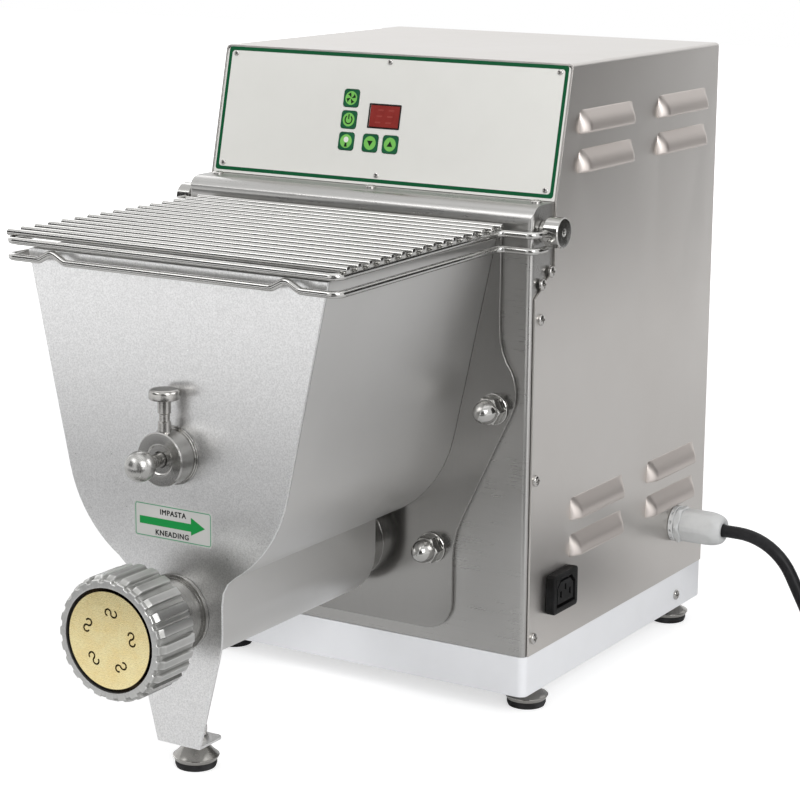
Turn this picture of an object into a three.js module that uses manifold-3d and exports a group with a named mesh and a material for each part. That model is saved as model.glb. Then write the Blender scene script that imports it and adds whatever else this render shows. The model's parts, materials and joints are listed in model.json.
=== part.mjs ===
// Pasta machine for the counter: a steel housing with a leaning control panel, and in front of it
// a kneading tub with a wire lid over an auger, whose barrel ends in a die under a ribbed ring nut.
// Millimetres, +Z up, the front towards -Y. Places are measured from the housing's front face (Y),
// the machine's middle (X) and the floor (Z), and the last lines move the origin to the bottom
// centre of the machine's box.

import * as THREE from 'three';
import { mergeVertices } from 'three/addons/utils/BufferGeometryUtils.js';
import Module from 'manifold-3d';

// Clearances and sheet
const FIT = 0.3;
const RUNNING_FIT = 0.5;
const OVERRUN = 4;
const SHEET = 1.5;
const WELD_SINK = 0.6;

// Floor to tray: five levelling feet, each a metal cone over a rubber pad
const FOOT_RIM_RADIUS = 16.3;
const FOOT_RIM_HEIGHT = 3.4;
const FOOT_NECK_RADIUS = 6;
const FOOT_NECK_HEIGHT = 2.4;
const FOOT_STUD_RADIUS = 4;
const FOOT_STUD_REACH = 12;
const FOOT_NUT_RADIUS = 8.7;
const FOOT_NUT_HEIGHT = 6;
const PAD_RADIUS = 14.6;
const PAD_HEIGHT = 5;
const PAD_SOLE_INSET = 1.2;
const PAD_SOLE_HEIGHT = 2.5;
const FOOT_INSET = 16.5;
const FOOT_FRONT_PLACE = 34;
const FOOT_BACK_PLACE = 278;

// Base tray
const TRAY_SIDE_INSET = 0.5;
const TRAY_FRONT = -1;
const TRAY_BACK = 305;
const TRAY_BOTTOM = 17.7;
const TRAY_TOP = 48;
const TRAY_WALL = 2;
const TRAY_LIP = 12;
const TRAY_CORNER = 6;

// Housing: chassis front, wrap-round cover and back panel
const HOUSING_HALF_WIDTH = 150;
const PANEL_RISE = 94.9;
const HOUSING_BACK = 302;
const COVER_FRONT = 4;
const COVER_EDGE_RADIUS = 3;
const NOTCH_DEPTH = 42.1;
const NOTCH_SLOPE_RISE = 20;
const CHASSIS_WALL = 2;
const CHASSIS_EDGE_RADIUS = 4;
const LEDGE_BEND_RADIUS = 13;
const LEDGE_DROP = 0.8;
const CHEEK_DEPTH = 24;
const SHOULDER_DEPTH = 60;
const SHOULDER_DROP = 9.9;
const SHOULDER_SLOPE = 36;
const BACK_PANEL_INSET = 2;
const BACK_PANEL_RETURN = 12;

// Louvres pressed out of the cover's sides, two columns in each of two rows of pairs
const LOUVRE_LENGTH = 83.5;
const LOUVRE_HEIGHT = 15;
const LOUVRE_STAND = 6;
const LOUVRE_END_SLOPE = 9;
const LOUVRE_FRONT_PLACE = 65.5;
const LOUVRE_BACK_PLACE = 194.5;
const LOUVRE_LOW_PLACE = 109.8;
const LOUVRE_TOP_DROP = 77.7;
const LOUVRE_PAIR_RISE = 28.2;

// Control panel, which leans back between the cover's sides
const PANEL_FOOT_PLACE = 32.4;
const PANEL_FOOT_RISE = 21.6;
const PANEL_HEAD_PLACE = 54.3;
const PANEL_PLATE = 2;
const PANEL_RETURN = 10;
const KEY_SIZE = 13.8;
const KEY_CORNER = 2.2;
const KEY_PROUD = 0.5;
const KEY_TRAVEL = 0.8;
const KEY_FLANGE = 0.9;
const KEY_FLANGE_THICKNESS = 1;
const KEY_STEM_RADIUS = 2;
const KEY_LEFT_PLACE = -31.3;
const KEY_MIDDLE_PLACE = -10.3;
const KEY_COLUMN_PITCH = 17.4;
const KEY_LOW_HEIGHT = 30.4;
const KEY_ROW_PITCH = 16.1;
const DISPLAY_WIDTH = 25.8;
const DISPLAY_HEIGHT = 16.6;
const DISPLAY_PLACE = -0.8;
const DISPLAY_MIDDLE_HEIGHT = 50.7;
const DISPLAY_DEPTH = 4;
const BOARD_THICKNESS = 1.6;
const BOARD_DEPTH = 13;
const BOARD_MARGIN = 9;
const BOARD_POST_RADIUS = 3;
const SWITCH_SIZE = 6;
const SWITCH_HEIGHT = 4;

// Power outlet in the right side
const OUTLET_WIDTH = 38;
const OUTLET_HEIGHT = 30;
const OUTLET_FLANGE = 3;
const OUTLET_PROUD = 7;
const OUTLET_PLACE = 48;
const OUTLET_MIDDLE_HEIGHT = 88.5;
const OUTLET_CHAMFER = 3;
const OUTLET_COLLAR_WIDTH = 31;
const OUTLET_COLLAR_HEIGHT = 24;
const OUTLET_GROOVE = 2.2;
const OUTLET_CORE_WIDTH = 24;
const OUTLET_CORE_HEIGHT = 16.5;
const OUTLET_CORE_CHAMFER = 4.5;
const OUTLET_GROOVE_DEPTH = 15;
const OUTLET_BODY_WIDTH = 28;
const OUTLET_BODY_HEIGHT = 22;
const OUTLET_BODY_DEPTH = 24;
const OUTLET_SLOT_WIDTH = 2.4;
const OUTLET_SLOT_HEIGHT = 5;
const OUTLET_SLOT_PITCH = 7;
const OUTLET_EARTH_RISE = 3;

// Hopper axes and tub
const SWEEP_CLEARANCE = 4.4;
const AUGER_HEIGHT = 116.7;
const TUB_FRONT = -219;
const TUB_TOP_RISE = 128;
const TUB_TOP_HALF_WIDTH = 121.7;
const TUB_RADIUS = 91.5;
const TROUGH_HALF_WIDTH = 36.5;
const TROUGH_BACK = -25;
const FRONT_PLATE = 2;
const NECK_HALF_WIDTH = 37.2;
const NECK_RISE = 10.3;
const NECK_BEND_ANGLE = THREE.MathUtils.degToRad(-58);
const LEG_TAPER_DROP = 18.7;
const LEG_TAPER_BEND = 8;
const LEG_BOTTOM = 21;
const LEG_BOTTOM_HALF_WIDTH = 17.8;
const LEG_CORNER = 4;
const TAB_DEPTH = 28;
const TAB_PLACE = 20;

// Rear plate of the tub, held to the chassis by four studs with acorn nuts
const REAR_PLATE = 3;
const REAR_PLATE_RISE = 3;
const REAR_PLATE_HALF_WIDTH = 125.5;
const EAR_RADIUS = 35;
const EAR_TOP_ANGLE = THREE.MathUtils.degToRad(40);
const EAR_LOW_ANGLE = THREE.MathUtils.degToRad(-26);
const EAR_STUD_OFFSET = 17.6;
const EAR_RISE = 17.5;
const EAR_FILLET_RISE = 32.5;
const EAR_FILLET_LENGTH = 16;
const APRON_HALF_WIDTH = 89;
const APRON_RISE = 29.3;
const APRON_SPREAD = 96.5;
const APRON_BEND_DROP = 2.7;
const APRON_BOTTOM = 58.3;
const APRON_CORNER = 22;
const BEARING_NECK_RADIUS = 30;
const STUD_RADIUS = 6;
const STUD_UPPER_SPREAD_SHARE = 0.523;
const STUD_UPPER_DROP = 12.3;
const STUD_LOWER_SPREAD = 71.9;
const STUD_LOWER_RISE = 4;
const STUD_REACH = 14;
const ACORN_HEX_RADIUS = 10.6;
const ACORN_HEX_HEIGHT = 9;
const ACORN_DOME_RADIUS = 8.7;
const ACORN_WASHER_RADIUS = 11.5;
const ACORN_WASHER = 1.6;
const ACORN_LENGTH = 22.5;

// Auger barrel, die and ring nut
const BORE_RADIUS = 22.5;
const BARREL_LIP_RISE = 21.3;
const BARREL_LIP_DROP = 8;
const SPOUT_RADIUS = 24.8;
const SPOUT_FLANGE_RADIUS = 27.2;
const SPOUT_FLANGE = 3;
const HEAD_RADIUS = 36;
const HEAD_BACK = -257;
const HEAD_FRONT = -280;
const DIE_FLANGE_RADIUS = 35.6;
const DIE_FLANGE = 6;
const DIE_RADIUS = 33.2;
const DIE_FACE = -292.5;
const DIE_SLOT_WIDTH = 1.3;
const DIE_SLOT_RADIUS = 2.3;
const DIE_SLOT_RING = 18.6;
const DIE_CURL_TURN_SHARE = 0.75;
const DIE_SLOT_BEARINGS = [15, 87, 159, 231, 303].map(THREE.MathUtils.degToRad);
const NUT_BACK = -255;
const NUT_FRONT = -294;
const NUT_MOUTH_RADIUS = 34.4;
const NUT_RING_RADIUS = 39.6;
const NUT_ROOT_RADIUS = 40.4;
const NUT_RIB_RADIUS = 43;
const NUT_RIB_FRONT = -290.6;
const NUT_CHAMFER = 4;
const NUT_RIB_COUNT = 24;
const NUT_RIB_SHARE = 0.66;
const NUT_RIB_TIP_SHARE = 0.8;

// Auger
const AUGER_FRONT = -268;
const AUGER_FLIGHT_BACK = -30;
const AUGER_RADIUS = 21.9;
const AUGER_CORE_RADIUS = 8;
const AUGER_PITCH = 31;
const FLIGHT_ROOT = 9;
const FLIGHT_TIP = 4;
const FLIGHT_SPARE_TURNS = 3;
const SHAFT_RADIUS = 12;
const SHAFT_END = 57;

// Mixer and the pivot that carries its front end
const MIXER_FRONT = -213;
const MIXER_BACK = -16;
const MIXER_SHAFT_RADIUS = 9;
const MIXER_HUB_RADIUS = 13;
const MIXER_HUB_LENGTH = 20;
const MIXER_CLEARANCE = 7;
const PADDLE_ROOT_WIDTH = 15;
const PADDLE_TIP_WIDTH = 27;
const PADDLE_THICKNESS = 5;
const PADDLE_COUNT = 4;
const PADDLE_INSET = 25;
const PADDLE_PITCH_ANGLE = THREE.MathUtils.degToRad(35);
const TONGUE_THICKNESS = 8;
const TONGUE_DEPTH = 12;
const PIVOT_BOSS_RADIUS = 18.5;
const PIVOT_BOSS_RIM_RADIUS = 20.2;
const PIVOT_BOSS_RIM = 1.6;
const PIVOT_BOSS_LENGTH = 16.8;
const PIVOT_DISH_RADIUS = 10.5;
const PIVOT_DISH_DEPTH = 1.1;
const PIVOT_PIN_RADIUS = 5.2;
const PIVOT_PIN_NECK_RADIUS = 4.4;
const PIVOT_PIN_BACK = -199;
const BALL_RADIUS = 10.4;
const BALL_PLACE = -256.5;
const PIN_FLAT_HEIGHT = 1.2;
const PIN_FLAT_FRONT = -235;
const LOCK_PIN_RADIUS = 4.5;
const LOCK_PIN_GROOVE_RADIUS = 3.6;
const LOCK_PIN_GROOVE_RISE = 24.5;
const LOCK_PIN_GROOVE_LENGTH = 5.5;
const LOCK_PIN_PLACE = -229.7;
const LOCK_HEAD_RADIUS = 10.3;
const LOCK_HEAD_RISE = 40;
const LOCK_HEAD_LENGTH = 7;
const LOCK_HEAD_ROUND = 2;

// Wire lid: grille above, guard wire below, both welded to a hinge boss on each side
const WIRE_RADIUS = 2.5;
const LID_FRONT = -226.5;
const LID_FRONT_OVERLAP = 12.3;
const LID_REAR_OVERLAP = 1.5;
const LID_REAR = -10;
const LID_LEG_STAND = 6;
const LID_BEND = 7;
const GRILLE_FRAME_RISE = 5.5;
const GUARD_WIRE_DROP = 5.7;
const GRILLE_ROD_COUNT = 16;
const GRILLE_ROD_FIRST = -220;
const GRILLE_ROD_PITCH = 13.9;
const GRILLE_ROD_OVERHANG = 4;
const KINK_PLACE = 95;
const KINK_HALF_FOOT = 11;
const HINGE_PLACE = 17;
const HINGE_RISE = 5;
const HINGE_BOSS_RADIUS = 11;
const HINGE_BOSS_LENGTH = 12;
const HINGE_BOSS_GAP = 3;
const HINGE_COLLAR_RADIUS = 8;
const HINGE_PIN_RADIUS = 4;
const HINGE_HEAD_RADIUS = 5.4;
const HINGE_HEAD_DEPTH = 3.5;
const HINGE_SOCKET_RADIUS = 2.6;
const HINGE_NUT_RADIUS = 8;
const HINGE_NUT = 5;

// Drive inside the housing
const MIXER_GEAR_TEETH = 34;
const AUGER_GEAR_TEETH = 20;
const PINION_TEETH = 15;
const GEAR_FRONT = 24;
const GEAR_WIDTH = 16;
const GEAR_BACKLASH = 0.35;
const DEDENDUM_SHARE = 1.25;
const PRESSURE_ANGLE = THREE.MathUtils.degToRad(20);
const PINION_BEARING = THREE.MathUtils.degToRad(200);
const CARRIER_FRONT = 47;
const CARRIER_PLATE = 6;
const CARRIER_HALF_WIDTH = 98;
const CARRIER_RISE = 92;
const CARRIER_POST_RADIUS = 6;
const CARRIER_POST_SPREAD = 91;
const CARRIER_POST_LOW = 57.5;
const CARRIER_POST_INSET = 18;
const BEARING_RADIUS = 18;
const BEARING_WIDTH = 10;
const SEAL_RADIUS = 18;
const PINION_SHAFT_RADIUS = 7;
const PINION_SHAFT_END = 62;
const MOTOR_RADIUS = 44;
const MOTOR_LENGTH = 150;
const MOTOR_HEAD_SIZE = 84;
const MOTOR_HEAD_LENGTH = 34;
const MOTOR_COWL_RADIUS = 46.5;
const MOTOR_COWL_LENGTH = 32;
const MOTOR_FOOT_WIDTH = 60;
const CAPACITOR_RADIUS = 20;
const CAPACITOR_LENGTH = 92;
const CAPACITOR_CLIP_SHARE = 0.25;
const CAPACITOR_PLACE = 62;
const CAPACITOR_BACK = 210;

// Cable: gland, route to the floor, coil of the spare length, tail and plug
const CABLE_RADIUS = 5;
const GLAND_PLACE = 249;
const GLAND_HEIGHT = 92;
const GLAND_FLANGE_RADIUS = 14.5;
const GLAND_FLANGE = 4;
const GLAND_HEX_RADIUS = 14;
const GLAND_HEX = 5;
const GLAND_THREAD_RADIUS = 9.5;
const GLAND_THREAD = 8;
const GLAND_NUT_RADIUS = 13.6;
const GLAND_NUT_LENGTH = 22;
const GLAND_DOME_LENGTH = 12;
const GLAND_DOME_RADIUS = 8.2;
const GLAND_MOUTH_DEPTH = 6;
const LEAD_TOP_CORNER = 237;
const LEAD_FLOOR_CORNER = 283.5;
const LEAD_BEND = 52;
const COIL_PLACE_X = 330;
const COIL_OUTER_RADIUS = 66;
const COIL_TURN_PITCH = 10.8;
const COIL_CLIMB_SHARE = 0.5;
const COIL_TURNING_SHARE = 0.12;
const COIL_TURNS_PER_LAYER = 2;
const COIL_STEPS_PER_TURN = 24;
const COIL_SIDES = 6;
const TAIL_RADIUS = 45;
const TAIL_SWEEP = THREE.MathUtils.degToRad(127);
const TAIL_STRAIGHT = 12;
const TAIL_STEPS = 8;
const PLUG_RADIUS = 19;
const PLUG_BODY_LENGTH = 34;
const PLUG_SLEEVE_LENGTH = 24;
const PLUG_SLEEVE_RADIUS = 6.5;
const PLUG_SHOULDER_RADIUS = 12;
const PLUG_PIN_RADIUS = 2.4;
const PLUG_PIN_LENGTH = 19;
const PLUG_PIN_SPACING = 19;

// Counts of facets
const BARREL_SIDES = 32;
const ROUND_SIDES = 24;
const SMALL_SIDES = 12;
const WIRE_SIDES = 8;
const ROD_SIDES = 6;
const BEND_STEPS = 3;
const WIRE_BEND_STEPS = 2;
const ARC_STEPS = 6;
const TUB_ARC_STEPS = 20;
const HEX_SIDES = 6;
const AUGER_SIDES = 12;
const CABLE_SIDES = 10;

// Places that follow from the sizes above
const MIXER_SWEEP_RADIUS = TUB_RADIUS - SHEET - MIXER_CLEARANCE;
const MIXER_HEIGHT = AUGER_HEIGHT + AUGER_RADIUS + SWEEP_CLEARANCE + MIXER_SWEEP_RADIUS;
const TUB_TOP = MIXER_HEIGHT + TUB_TOP_RISE;
const REAR_PLATE_TOP = TUB_TOP + REAR_PLATE_RISE;
const PANEL_FOOT_HEIGHT = REAR_PLATE_TOP + PANEL_FOOT_RISE;
const HOUSING_TOP = PANEL_FOOT_HEIGHT + PANEL_RISE;
const NOTCH_BOTTOM = TUB_TOP - NOTCH_DEPTH;
const SHOULDER_BOTTOM = NOTCH_BOTTOM - SHOULDER_DROP;
const LOUVRE_HIGH_PLACE = HOUSING_TOP - LOUVRE_TOP_DROP;
const NECK_TOP = AUGER_HEIGHT + NECK_RISE;
const LEG_TAPER_TOP = AUGER_HEIGHT - LEG_TAPER_DROP;
const BARREL_LIP_HEIGHT = AUGER_HEIGHT + BARREL_LIP_RISE;
const PANEL_LEAN = Math.atan2(PANEL_HEAD_PLACE - PANEL_FOOT_PLACE, PANEL_RISE);
const PANEL_SLANT = Math.hypot(PANEL_HEAD_PLACE - PANEL_FOOT_PLACE, PANEL_RISE);
const COVER_BOTTOM = TRAY_TOP + FIT;
const CHASSIS_HALF_WIDTH = HOUSING_HALF_WIDTH - SHEET - FIT;
const LEDGE_TOP = PANEL_FOOT_HEIGHT - LEDGE_DROP;
const TRAY_HALF_WIDTH = HOUSING_HALF_WIDTH - TRAY_SIDE_INSET;
const TRAY_FLOOR = TRAY_BOTTOM + TRAY_WALL;
const FOOT_SPREAD = TRAY_HALF_WIDTH - FOOT_INSET;
const PLATE_BACK = TUB_FRONT + FRONT_PLATE;
const REAR_PLATE_FRONT = -FIT - REAR_PLATE;
const TUB_BACK = REAR_PLATE_FRONT - FIT;
const TROUGH_INSIDE = TROUGH_HALF_WIDTH - SHEET;
const STUD_UPPER_SPREAD = TUB_RADIUS + STUD_UPPER_SPREAD_SHARE * (HOUSING_HALF_WIDTH - TUB_RADIUS);
const EAR_HEIGHT = MIXER_HEIGHT + EAR_RISE;
const APRON_TOP = AUGER_HEIGHT + APRON_RISE;
const APRON_BEND_BOTTOM = AUGER_HEIGHT - APRON_BEND_DROP;
const STUD_LOWER_HEIGHT = AUGER_HEIGHT + STUD_LOWER_RISE;
const STUD_UPPER_HEIGHT = EAR_HEIGHT - STUD_UPPER_DROP;
const EAR_HALF_SPREAD = STUD_UPPER_SPREAD - EAR_STUD_OFFSET;
const EAR_FILLET_BOTTOM = EAR_HEIGHT + EAR_FILLET_RISE;
const EAR_FILLET_TOP = EAR_FILLET_BOTTOM + EAR_FILLET_LENGTH;
const LOCK_PIN_GROOVE_BOTTOM = MIXER_HEIGHT + LOCK_PIN_GROOVE_RISE;
const LOCK_PIN_GROOVE_TOP = LOCK_PIN_GROOVE_BOTTOM + LOCK_PIN_GROOVE_LENGTH;
const LOCK_HEAD_BOTTOM = MIXER_HEIGHT + LOCK_HEAD_RISE;
const LOCK_HEAD_TOP = LOCK_HEAD_BOTTOM + LOCK_HEAD_LENGTH;
const GRILLE_FRAME_HEIGHT = TUB_TOP + GRILLE_FRAME_RISE;
const GUARD_WIRE_HEIGHT = TUB_TOP - GUARD_WIRE_DROP;
const HINGE_HEIGHT = TUB_TOP + HINGE_RISE;
const LID_FRONT_HALF_WIDTH = TUB_TOP_HALF_WIDTH + LID_FRONT_OVERLAP;
const LID_REAR_HALF_WIDTH = REAR_PLATE_HALF_WIDTH + LID_REAR_OVERLAP;
const LID_LEG_PLACE = HOUSING_HALF_WIDTH + LID_LEG_STAND;
const HINGE_BOSS_STEP = HOUSING_HALF_WIDTH + HINGE_BOSS_GAP;
const HINGE_BOSS_OUTER = HINGE_BOSS_STEP + HINGE_BOSS_LENGTH;
const GEAR_MODULE = 2 * (MIXER_HEIGHT - AUGER_HEIGHT) / (MIXER_GEAR_TEETH + AUGER_GEAR_TEETH);
const PINION_DISTANCE = GEAR_MODULE * (AUGER_GEAR_TEETH + PINION_TEETH) / 2;
const PINION_X = PINION_DISTANCE * Math.cos(PINION_BEARING);
const PINION_Z = AUGER_HEIGHT + PINION_DISTANCE * Math.sin(PINION_BEARING);
const CARRIER_TOP = MIXER_HEIGHT + CARRIER_RISE;
const CARRIER_POST_HIGH = CARRIER_TOP - CARRIER_POST_INSET;
const CARRIER_BACK = CARRIER_FRONT + CARRIER_PLATE;
const GRILLE_ROD_HEIGHT = GRILLE_FRAME_HEIGHT + 2 * WIRE_RADIUS - WELD_SINK;
const GLAND_HEX_PLACE = HOUSING_HALF_WIDTH + FIT + GLAND_FLANGE;
const GLAND_NUT_PLACE = GLAND_HEX_PLACE + GLAND_HEX;
const GLAND_TIP = GLAND_NUT_PLACE + GLAND_NUT_LENGTH + GLAND_DOME_LENGTH;
const COIL_PLACE_Y = GLAND_PLACE + COIL_OUTER_RADIUS;
const COIL_EXIT_X = COIL_PLACE_X - 2 * CABLE_RADIUS - FIT;
const COIL_EXIT_HEIGHT = CABLE_RADIUS + COIL_TURN_PITCH;
const PLUG_HEIGHT = COIL_EXIT_HEIGHT + CABLE_RADIUS + FIT + PLUG_RADIUS;

const wasm = await Module();
wasm.setup();

// Geometry in, geometry out: joins and cuts of closed bodies

function solidOf(geometry) {
  const bare = geometry.clone();
  bare.deleteAttribute('normal');
  bare.deleteAttribute('uv');
  const welded = mergeVertices(bare);
  const points = welded.attributes.position;
  const corners = welded.index.array;
  const triangles = [];
  const [a, b, c] = [new THREE.Vector3(), new THREE.Vector3(), new THREE.Vector3()];
  let volume = 0;
  for (let i = 0; i < corners.length; i += 3) {
    const [p, q, r] = [corners[i], corners[i + 1], corners[i + 2]];
    if (p === q || q === r || r === p) continue;
    triangles.push([p, q, r]);
    a.fromBufferAttribute(points, p);
    b.fromBufferAttribute(points, q);
    c.fromBufferAttribute(points, r);
    volume += a.dot(b.cross(c));
  }
  const outward = volume < 0 ? triangles.map(([p, q, r]) => [p, r, q]) : triangles;
  const triVerts = new Uint32Array(outward.flat());
  return new wasm.Manifold(new wasm.Mesh({ numProp: 3, vertProperties: points.array, triVerts }));
}

function geometryOf(body) {
  const mesh = body.getMesh();
  const geometry = new THREE.BufferGeometry();
  geometry.setAttribute('position', new THREE.BufferAttribute(new Float32Array(mesh.vertProperties), 3));
  geometry.setIndex(new THREE.BufferAttribute(new Uint32Array(mesh.triVerts), 1));
  geometry.computeVertexNormals();
  return geometry;
}

function closed(geometry) {
  return geometryOf(solidOf(geometry));
}

function join(...bodies) {
  return geometryOf(bodies.map(solidOf).reduce((sum, body) => sum.add(body)));
}

function cut(body, ...tools) {
  return geometryOf(tools.map(solidOf).reduce((rest, tool) => rest.subtract(tool), solidOf(body)));
}

function common(...bodies) {
  return geometryOf(bodies.map(solidOf).reduce((shared, body) => shared.intersect(body)));
}

function mirrored(geometry) {
  return closed(geometry.clone().scale(-1, 1, 1));
}

// Outlines: lists of points, and shapes made from them

function shapeOf(points) {
  return new THREE.Shape(points.map(([a, b]) => new THREE.Vector2(a, b)));
}

function arc(a, b, radius, from, to, steps = ARC_STEPS) {
  const points = [];
  for (let i = 0; i <= steps; i += 1) {
    const angle = from + (to - from) * i / steps;
    points.push([a + radius * Math.cos(angle), b + radius * Math.sin(angle)]);
  }
  return points;
}

function bend([a0, b0], [a1, b1], [a2, b2], steps = BEND_STEPS) {
  const points = [];
  for (let i = 0; i <= steps; i += 1) {
    const t = i / steps;
    const [u, v, w] = [(1 - t) * (1 - t), 2 * t * (1 - t), t * t];
    points.push([u * a0 + v * a1 + w * a2, u * b0 + v * b1 + w * b2]);
  }
  return points;
}

function rectangle(a0, a1, b0, b1) {
  return shapeOf([[a0, b0], [a1, b0], [a1, b1], [a0, b1]]);
}

function roundedRectangle(a0, a1, b0, b1, radius, steps = BEND_STEPS) {
  return shapeOf([
    ...arc(a1 - radius, b0 + radius, radius, -Math.PI / 2, 0, steps),
    ...arc(a1 - radius, b1 - radius, radius, 0, Math.PI / 2, steps),
    ...arc(a0 + radius, b1 - radius, radius, Math.PI / 2, Math.PI, steps),
    ...arc(a0 + radius, b0 + radius, radius, Math.PI, 3 * Math.PI / 2, steps),
  ]);
}

function symmetric(rightHalf) {
  const leftHalf = rightHalf.map(([a, b]) => [-a, b]).reverse();
  return shapeOf([...rightHalf, ...leftHalf]);
}

function ring(radius, sides) {
  return shapeOf(arc(0, 0, radius, 0, 2 * Math.PI, sides).slice(0, sides));
}

// Bodies: a prism of an outline along an axis, a revolved profile and a bent wire

function prism(shape, axis, from, to) {
  const geometry = new THREE.ExtrudeGeometry(shape, { depth: to - from, bevelEnabled: false });
  if (axis === 'x') {
    const turn = new THREE.Matrix4().set(0, 0, 1, 0, 1, 0, 0, 0, 0, 1, 0, 0, 0, 0, 0, 1);
    return geometry.applyMatrix4(turn).translate(from, 0, 0);
  }
  if (axis === 'y') return geometry.rotateX(Math.PI / 2).translate(0, to, 0);
  return geometry.translate(0, 0, from);
}

function block(x0, x1, y0, y1, z0, z1) {
  return prism(rectangle(x0, x1, y0, y1), 'z', z0, z1);
}

// A profile is a loop of [radius, place along the axis]
function revolve(profile, axis, sides = ROUND_SIDES) {
  const loop = [...profile, profile[0]].map(([radius, along]) => new THREE.Vector2(radius, along));
  const geometry = new THREE.LatheGeometry(loop, sides);
  if (axis === 'z') return geometry.rotateX(Math.PI / 2);
  if (axis === 'x') return geometry.rotateZ(-Math.PI / 2);
  return geometry;
}

function disc(radius, axis, from, to, sides = ROUND_SIDES) {
  return revolve([[0, from], [radius, from], [radius, to], [0, to]], axis, sides);
}

function tubeRing(inner, outer, axis, from, to, sides = ROUND_SIDES) {
  return revolve([[inner, from], [outer, from], [outer, to], [inner, to]], axis, sides);
}

// A route through corner points with round bends, whose stations lie only in the bends and at the ends
class BentRoute extends THREE.Curve {
  constructor(corners, radius, steps) {
    super();
    const points = corners.map((corner) => new THREE.Vector3(...corner));
    const last = points.length - 1;
    const heading = (i) => points[i + 1].clone().sub(points[i]).normalize();
    this.stations = [{ point: points[0], tangent: heading(0) }];
    for (let i = 1; i < last; i += 1) {
      const [before, after] = [heading(i - 1), heading(i)];
      const angle = before.angleTo(after);
      const across = after.clone().addScaledVector(before, -Math.cos(angle)).normalize();
      const start = points[i].clone().addScaledVector(before, -radius * Math.tan(angle / 2));
      for (let k = 0; k <= steps; k += 1) {
        const turn = angle * k / steps;
        const point = start.clone().addScaledVector(before, radius * Math.sin(turn));
        point.addScaledVector(across, radius * (1 - Math.cos(turn)));
        const tangent = before.clone().multiplyScalar(Math.cos(turn));
        tangent.addScaledVector(across, Math.sin(turn));
        this.stations.push({ point, tangent });
      }
    }
    this.stations.push({ point: points[last], tangent: heading(last - 1) });
  }

  get steps() {
    return this.stations.length - 1;
  }

  getPointAt(share) {
    return this.stations[Math.round(share * this.steps)].point.clone();
  }

  getTangentAt(share) {
    return this.stations[Math.round(share * this.steps)].tangent.clone();
  }
}

function wire(corners, radius, bendRadius, sides = WIRE_SIDES, bendSteps = WIRE_BEND_STEPS) {
  const extrudePath = new BentRoute(corners, bendRadius, bendSteps);
  return new THREE.ExtrudeGeometry(ring(radius, sides), { steps: extrudePath.steps, extrudePath });
}

// Finishes
function finish(color, roughness, metalness) {
  return () => new THREE.MeshStandardMaterial({ color, roughness, metalness });
}

const brushedSteel = finish(0xb4b0aa, 0.38, 0.9);
const blastedSteel = finish(0xc8c8c6, 0.5, 0.85);
const polishedSteel = finish(0xd2d0cc, 0.18, 1);
const nickel = finish(0xc6c2ba, 0.25, 1);
const castMetal = finish(0x9a9a97, 0.5, 0.8);
const brass = finish(0xe6cf8e, 0.35, 0.8);
const whiteEnamel = finish(0xe6e8ec, 0.35, 0);
const labelFilm = finish(0xdedcd6, 0.4, 0);
const keyGreen = finish(0x17613c, 0.45, 0);
const displayRed = finish(0x8c2a26, 0.2, 0);
const boardGreen = finish(0x1f5a36, 0.6, 0);
const blackPlastic = finish(0x1a1a1c, 0.5, 0);
const greyPlastic = finish(0xd8dadc, 0.5, 0);
const blackRubber = finish(0x151515, 0.8, 0);
const gearSteel = finish(0x8c8c8e, 0.4, 0.9);
const motorPaint = finish(0x4d5256, 0.6, 0.2);

const machine = new THREE.Group();

function place(name, geometry, material, parent = machine) {
  const mesh = new THREE.Mesh(closed(geometry), material());
  mesh.name = name;
  parent.add(mesh);
  return mesh;
}

// Levelling feet

function footCone(bodyBottom) {
  const rimBottom = PAD_HEIGHT + FIT;
  const rimTop = rimBottom + FOOT_RIM_HEIGHT;
  const neckTop = bodyBottom - FIT;
  const nutBottom = bodyBottom + TRAY_WALL + FIT;
  const cone = revolve([
    [0, rimBottom],
    [PAD_RADIUS, rimBottom],
    [FOOT_RIM_RADIUS, rimTop - FIT],
    [FOOT_RIM_RADIUS - FIT, rimTop],
    [FOOT_NECK_RADIUS, neckTop - FOOT_NECK_HEIGHT],
    [FOOT_NECK_RADIUS, neckTop],
    [FOOT_STUD_RADIUS, neckTop],
    [FOOT_STUD_RADIUS, bodyBottom + FOOT_STUD_REACH],
    [0, bodyBottom + FOOT_STUD_REACH],
  ], 'z', SMALL_SIDES);
  return join(cone, prism(ring(FOOT_NUT_RADIUS, HEX_SIDES), 'z', nutBottom, nutBottom + FOOT_NUT_HEIGHT));
}

function footPad() {
  return revolve([
    [0, 0],
    [PAD_RADIUS - PAD_SOLE_INSET, 0],
    [PAD_RADIUS, PAD_SOLE_HEIGHT],
    [PAD_RADIUS, PAD_HEIGHT],
    [0, PAD_HEIGHT],
  ], 'z', SMALL_SIDES);
}

function footPlaces() {
  return {
    front_left: [-FOOT_SPREAD, FOOT_FRONT_PLACE],
    front_right: [FOOT_SPREAD, FOOT_FRONT_PLACE],
    back_left: [-FOOT_SPREAD, FOOT_BACK_PLACE],
    back_right: [FOOT_SPREAD, FOOT_BACK_PLACE],
  };
}

function addFeet() {
  for (const [corner, [x, y]] of Object.entries(footPlaces())) {
    place(`foot_${corner}`, footCone(TRAY_BOTTOM).translate(x, y, 0), nickel);
    place(`foot_pad_${corner}`, footPad().translate(x, y, 0), blackRubber);
  }
  const tabPlace = TUB_FRONT + TAB_PLACE;
  place('leg_foot', footCone(LEG_BOTTOM).translate(0, tabPlace, 0), nickel);
  place('leg_foot_pad', footPad().translate(0, tabPlace, 0), blackRubber);
}

// Base tray: a pan whose rim turns inward to carry the housing

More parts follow.
